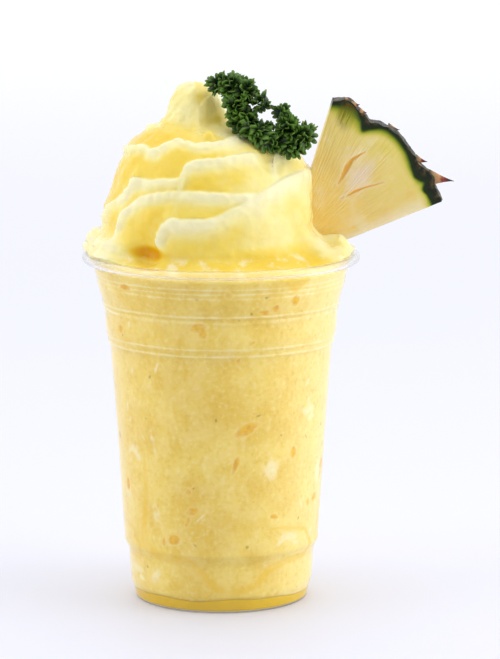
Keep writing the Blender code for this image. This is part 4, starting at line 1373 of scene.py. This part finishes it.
# %% Set each blade on the rind
BRACT = bract_finish()
for name, (root, tip, across, width, thickness) in BLADES.items():
    ends = []
    for degrees, reach in (root, tip):
        angle = math.radians(degrees)
        ends.append(Vector((reach * math.cos(angle), WEDGE_MIDDLE_Y + across, reach * math.sin(angle))))
    direction = (ends[1] - ends[0]).normalized()
    bow_to = Vector((0.0, -1.0 if name == "spine" else 1.0, 0.0))
    turn = Matrix((bow_to, bow_to.cross(direction), direction)).transposed().to_4x4()
    mesh = blade_mesh(name, (ends[1] - ends[0]).length, width, thickness)
    place = Matrix.Translation((ends[0] + Vector((WEDGE_APEX[0], 0.0, WEDGE_APEX[1]))) * MM)
    mesh.transform(place @ turn)
    put_in_scene(name, mesh, BRACT, "pineapple", "pineapple_wedge")

# %% [markdown]
# ## The parsley
#
# Curly parsley is a branching stem whose leaflets are small fans, cut into lobes and so ruffled
# that each looks like a frilled ball. A single leaflet is made once as a function: a fan of
# points whose edge is cut into lobes and whose surface waves more towards the edge. About 150
# of them, each with its own size and turn, sit on twigs round the middle of each cluster. A
# leaflet that would sink into the smoothie is lifted clear of it.

# %% One ruffled leaflet
# How many lobes a fan has, and how finely it is divided
FINGERS = 5
FAN_STEPS = 6 * FINGERS
FAN_ROWS = 5
FAN_SPREAD = math.radians(84.0)
# How deep the lobes are cut, how far the fan waves and curls over, and how each lobe cups, all
# as parts of its size
LOBE_CUT = 0.52
RUFFLE = 0.30
CURL_OVER = 0.22
LOBE_CUP = 0.10


def leaflet(size, seed):
    """Points and faces of one fan with deep lobes, rooted at the origin, opening along +Z."""
    points, faces, tips = [], [], []
    for row in range(FAN_ROWS + 1):
        out = row / FAN_ROWS
        for step in range(FAN_STEPS + 1):
            side = step / FAN_STEPS * 2.0 - 1.0
            lobe = abs(math.sin((side + 1.0) * math.pi * FINGERS / 2.0)) ** 0.55
            reach = size * out * (1.0 - LOBE_CUT * (1.0 - lobe) * out) * (1.0 - 0.18 * side * side)
            angle = side * FAN_SPREAD
            wave = math.sin((side + 1.0) * math.pi * FINGERS / 4.0 + seed)
            ruffle = out**1.5 * size * RUFFLE * wave
            curl = -CURL_OVER * size * out * out
            cup_shape = LOBE_CUP * size * out * math.sin((side + 1.0) * math.pi * FINGERS) * lobe
            points.append((reach * math.sin(angle), ruffle + curl + cup_shape, reach * math.cos(angle)))
            tips.append(out * (0.6 + 0.4 * lobe))
    for row in range(FAN_ROWS):
        for step in range(FAN_STEPS):
            a = row * (FAN_STEPS + 1) + step
            faces.append((a, a + 1, a + FAN_STEPS + 2, a + FAN_STEPS + 1))
    return points, faces, tips


# %% Clusters of leaflets
# Centre in millimetres, radius, how many leaflets, and the cluster that its stem comes from
CLUSTERS = (
    ((-0.2, -11.0, 183.4), 4.4, 9, 1), ((4.4, -12.0, 182.8), 5.2, 13, 2),
    ((8.6, -12.5, 180.8), 5.4, 15, 3), ((5.2, -14.0, 175.8), 5.4, 13, 4),
    ((8.0, -15.0, 170.8), 5.8, 15, 5), ((12.0, -18.0, 165.4), 5.8, 15, None),
    ((14.4, -16.0, 177.2), 4.0, 9, 4), ((18.2, -17.5, 163.6), 4.8, 12, 5),
    ((21.0, -16.8, 174.6), 3.4, 7, 7), ((23.6, -16.5, 169.2), 5.2, 12, 8),
    ((28.4, -16.8, 166.4), 5.2, 14, 9), ((24.4, -18.0, 162.8), 4.8, 11, 7),
    ((16.6, -16.6, 169.4), 2.7, 6, 9),
)
STEM_ROOT = Vector((12.0, -13.0, 152.0))
STEM_HEAD = Vector((15.5, -18.5, 161.0))


def make_parsley(tree):
    """Points, faces, places from root to tip, and twigs of all the leaflets."""
    draw = random.Random(11)
    points, faces, tips, twigs = [], [], [], []
    for centre, radius, count, _ in CLUSTERS:
        centre = Vector(centre)
        for index in range(count):
            up = 1.0 - 2.0 * (index + 0.5) / count
            turn = index * 2.4 + draw.uniform(-0.3, 0.3)
            around = math.sqrt(1.0 - up * up)
            out = Vector((around * math.cos(turn), around * math.sin(turn), up))
            root = centre + out * radius * draw.uniform(0.0, 0.35)
            facing = (out + Vector([draw.uniform(-0.4, 0.4) for _ in range(3)])).normalized()
            size = radius * draw.uniform(0.72, 1.02)
            local, local_faces, local_tips = leaflet(size, draw.uniform(0, 6.28))
            spin = Matrix.Rotation(draw.uniform(0, 6.28), 3, "Z")
            turned = facing.to_track_quat("Z", "Y").to_matrix() @ spin
            placed = [root + turned @ Vector(p) for p in local]
            lift = clear_of(tree, placed)
            start = len(points)
            points += [(p + lift) for p in placed]
            faces += [tuple(start + i for i in face) for face in local_faces]
            tips += local_tips
            twigs.append((centre, root + lift))
    return points, faces, tips, twigs


LEAF_CLEARANCE = 0.4


def clear_of(tree, points):
    """The shift that lifts these points clear of the smoothie."""
    shift = Vector()
    for _ in range(3):
        worst, way = 0.0, Vector()
        for point in points[::3]:
            nearest, normal, _, _ = tree.find_nearest((point + shift) * MM)
            short = LEAF_CLEARANCE - (point + shift - nearest / MM).dot(normal)
            if short > worst:
                worst, way = short, normal.copy()
        shift += way * worst
    return shift


# %% Leaves with thickness, and their stems
LEAF_THICKNESS = 0.22


def leaf_finish():
    """Green, with painted shade near a leaflet's root and a painted highlight towards its edge."""
    material, tree, shader = new_finish("parsley_leaf")
    cloud = speckle(tree, 0.0035, detail=2.0)
    vein = speckle(tree, 0.0009)
    # Painted shade at the root and painted highlight at the edge, over the leaf's own green.
    edge = unsettle(tree, vertex_value(tree, "tip"), cloud, 0.9)
    colour = ramp(tree, edge, (0.1, seen(12, 26, 4)), (0.55, seen(34, 62, 12)), (0.95, seen(92, 132, 38)))
    wear(tree, shader, colour, spread(tree, vein, -0.6, 2.4))
    bump(tree, shader, vein, 0.0002, 0.6)
    set_values(shader, IOR=1.42)
    return material


def make_leaves(tree):
    """All leaflets as one piece with a little thickness. Gives their twigs back."""
    points, faces, tips, twigs = make_parsley(tree)
    mesh = bpy.data.meshes.new("parsley_leaves")
    mesh.from_pydata([p * MM for p in points], [], faces)
    carry(mesh, "tip", tips)
    leaves = put_in_scene("parsley_leaves", mesh, leaf_finish(), "parsley", "parsley_sprig")
    solidify = leaves.modifiers.new("thickness", "SOLIDIFY")
    solidify.thickness = LEAF_THICKNESS * MM
    solidify.offset = 0.0
    return twigs


def tube_curve(name, paths, material):
    """Round stems: each path is a list of points with a radius at each."""
    curve = bpy.data.curves.new(name, "CURVE")
    curve.dimensions = "3D"
    curve.bevel_depth = MM
    curve.bevel_resolution = 2
    curve.use_fill_caps = True
    for path in paths:
        spline = curve.splines.new("POLY")
        spline.points.add(len(path) - 1)
        for point, (place, radius) in zip(spline.points, path):
            point.co = (*(place * MM), 1.0)
            point.radius = radius
    curve.materials.append(material)
    stems = bpy.data.objects.new(name, curve)
    bpy.context.scene.collection.objects.link(stems)
    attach(stems, "root")
    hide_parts("parsley_sprig")
    return stems


def stem_finish():
    material, tree, shader = new_finish("parsley_stem")
    cloud = speckle(tree, 0.002)
    wear(tree, shader, mix(tree, cloud, seen(60, 98, 34), seen(96, 136, 52)), spread(tree, cloud, -0.6, 1.8))
    bump(tree, shader, cloud, 0.0002, 0.4)
    return material


# %% [markdown]
# The stem leaves the smoothie below the sprig. A branch joins each cluster to its neighbour, and
# a thin twig joins each leaflet to its cluster's middle, so that no leaf hangs in the air.

# %% Grow the sprig
SMOOTHIE_TREE = BVHTree.FromObject(smoothie, bpy.context.evaluated_depsgraph_get())
twigs = make_leaves(SMOOTHIE_TREE)
branches = [[(STEM_ROOT, 0.9), (STEM_HEAD, 0.8)]]
for centre, _, _, parent in CLUSTERS:
    start = STEM_HEAD if parent is None else Vector(CLUSTERS[parent][0])
    branches.append([(start, 0.7), (Vector(centre), 0.5)])
for centre, root in twigs:
    branches.append([(centre, 0.3), (root, 0.22)])
tube_curve("parsley_stems", branches, stem_finish())
print("the sprig has", len(twigs), "leaflets and", len(branches), "stems and twigs")
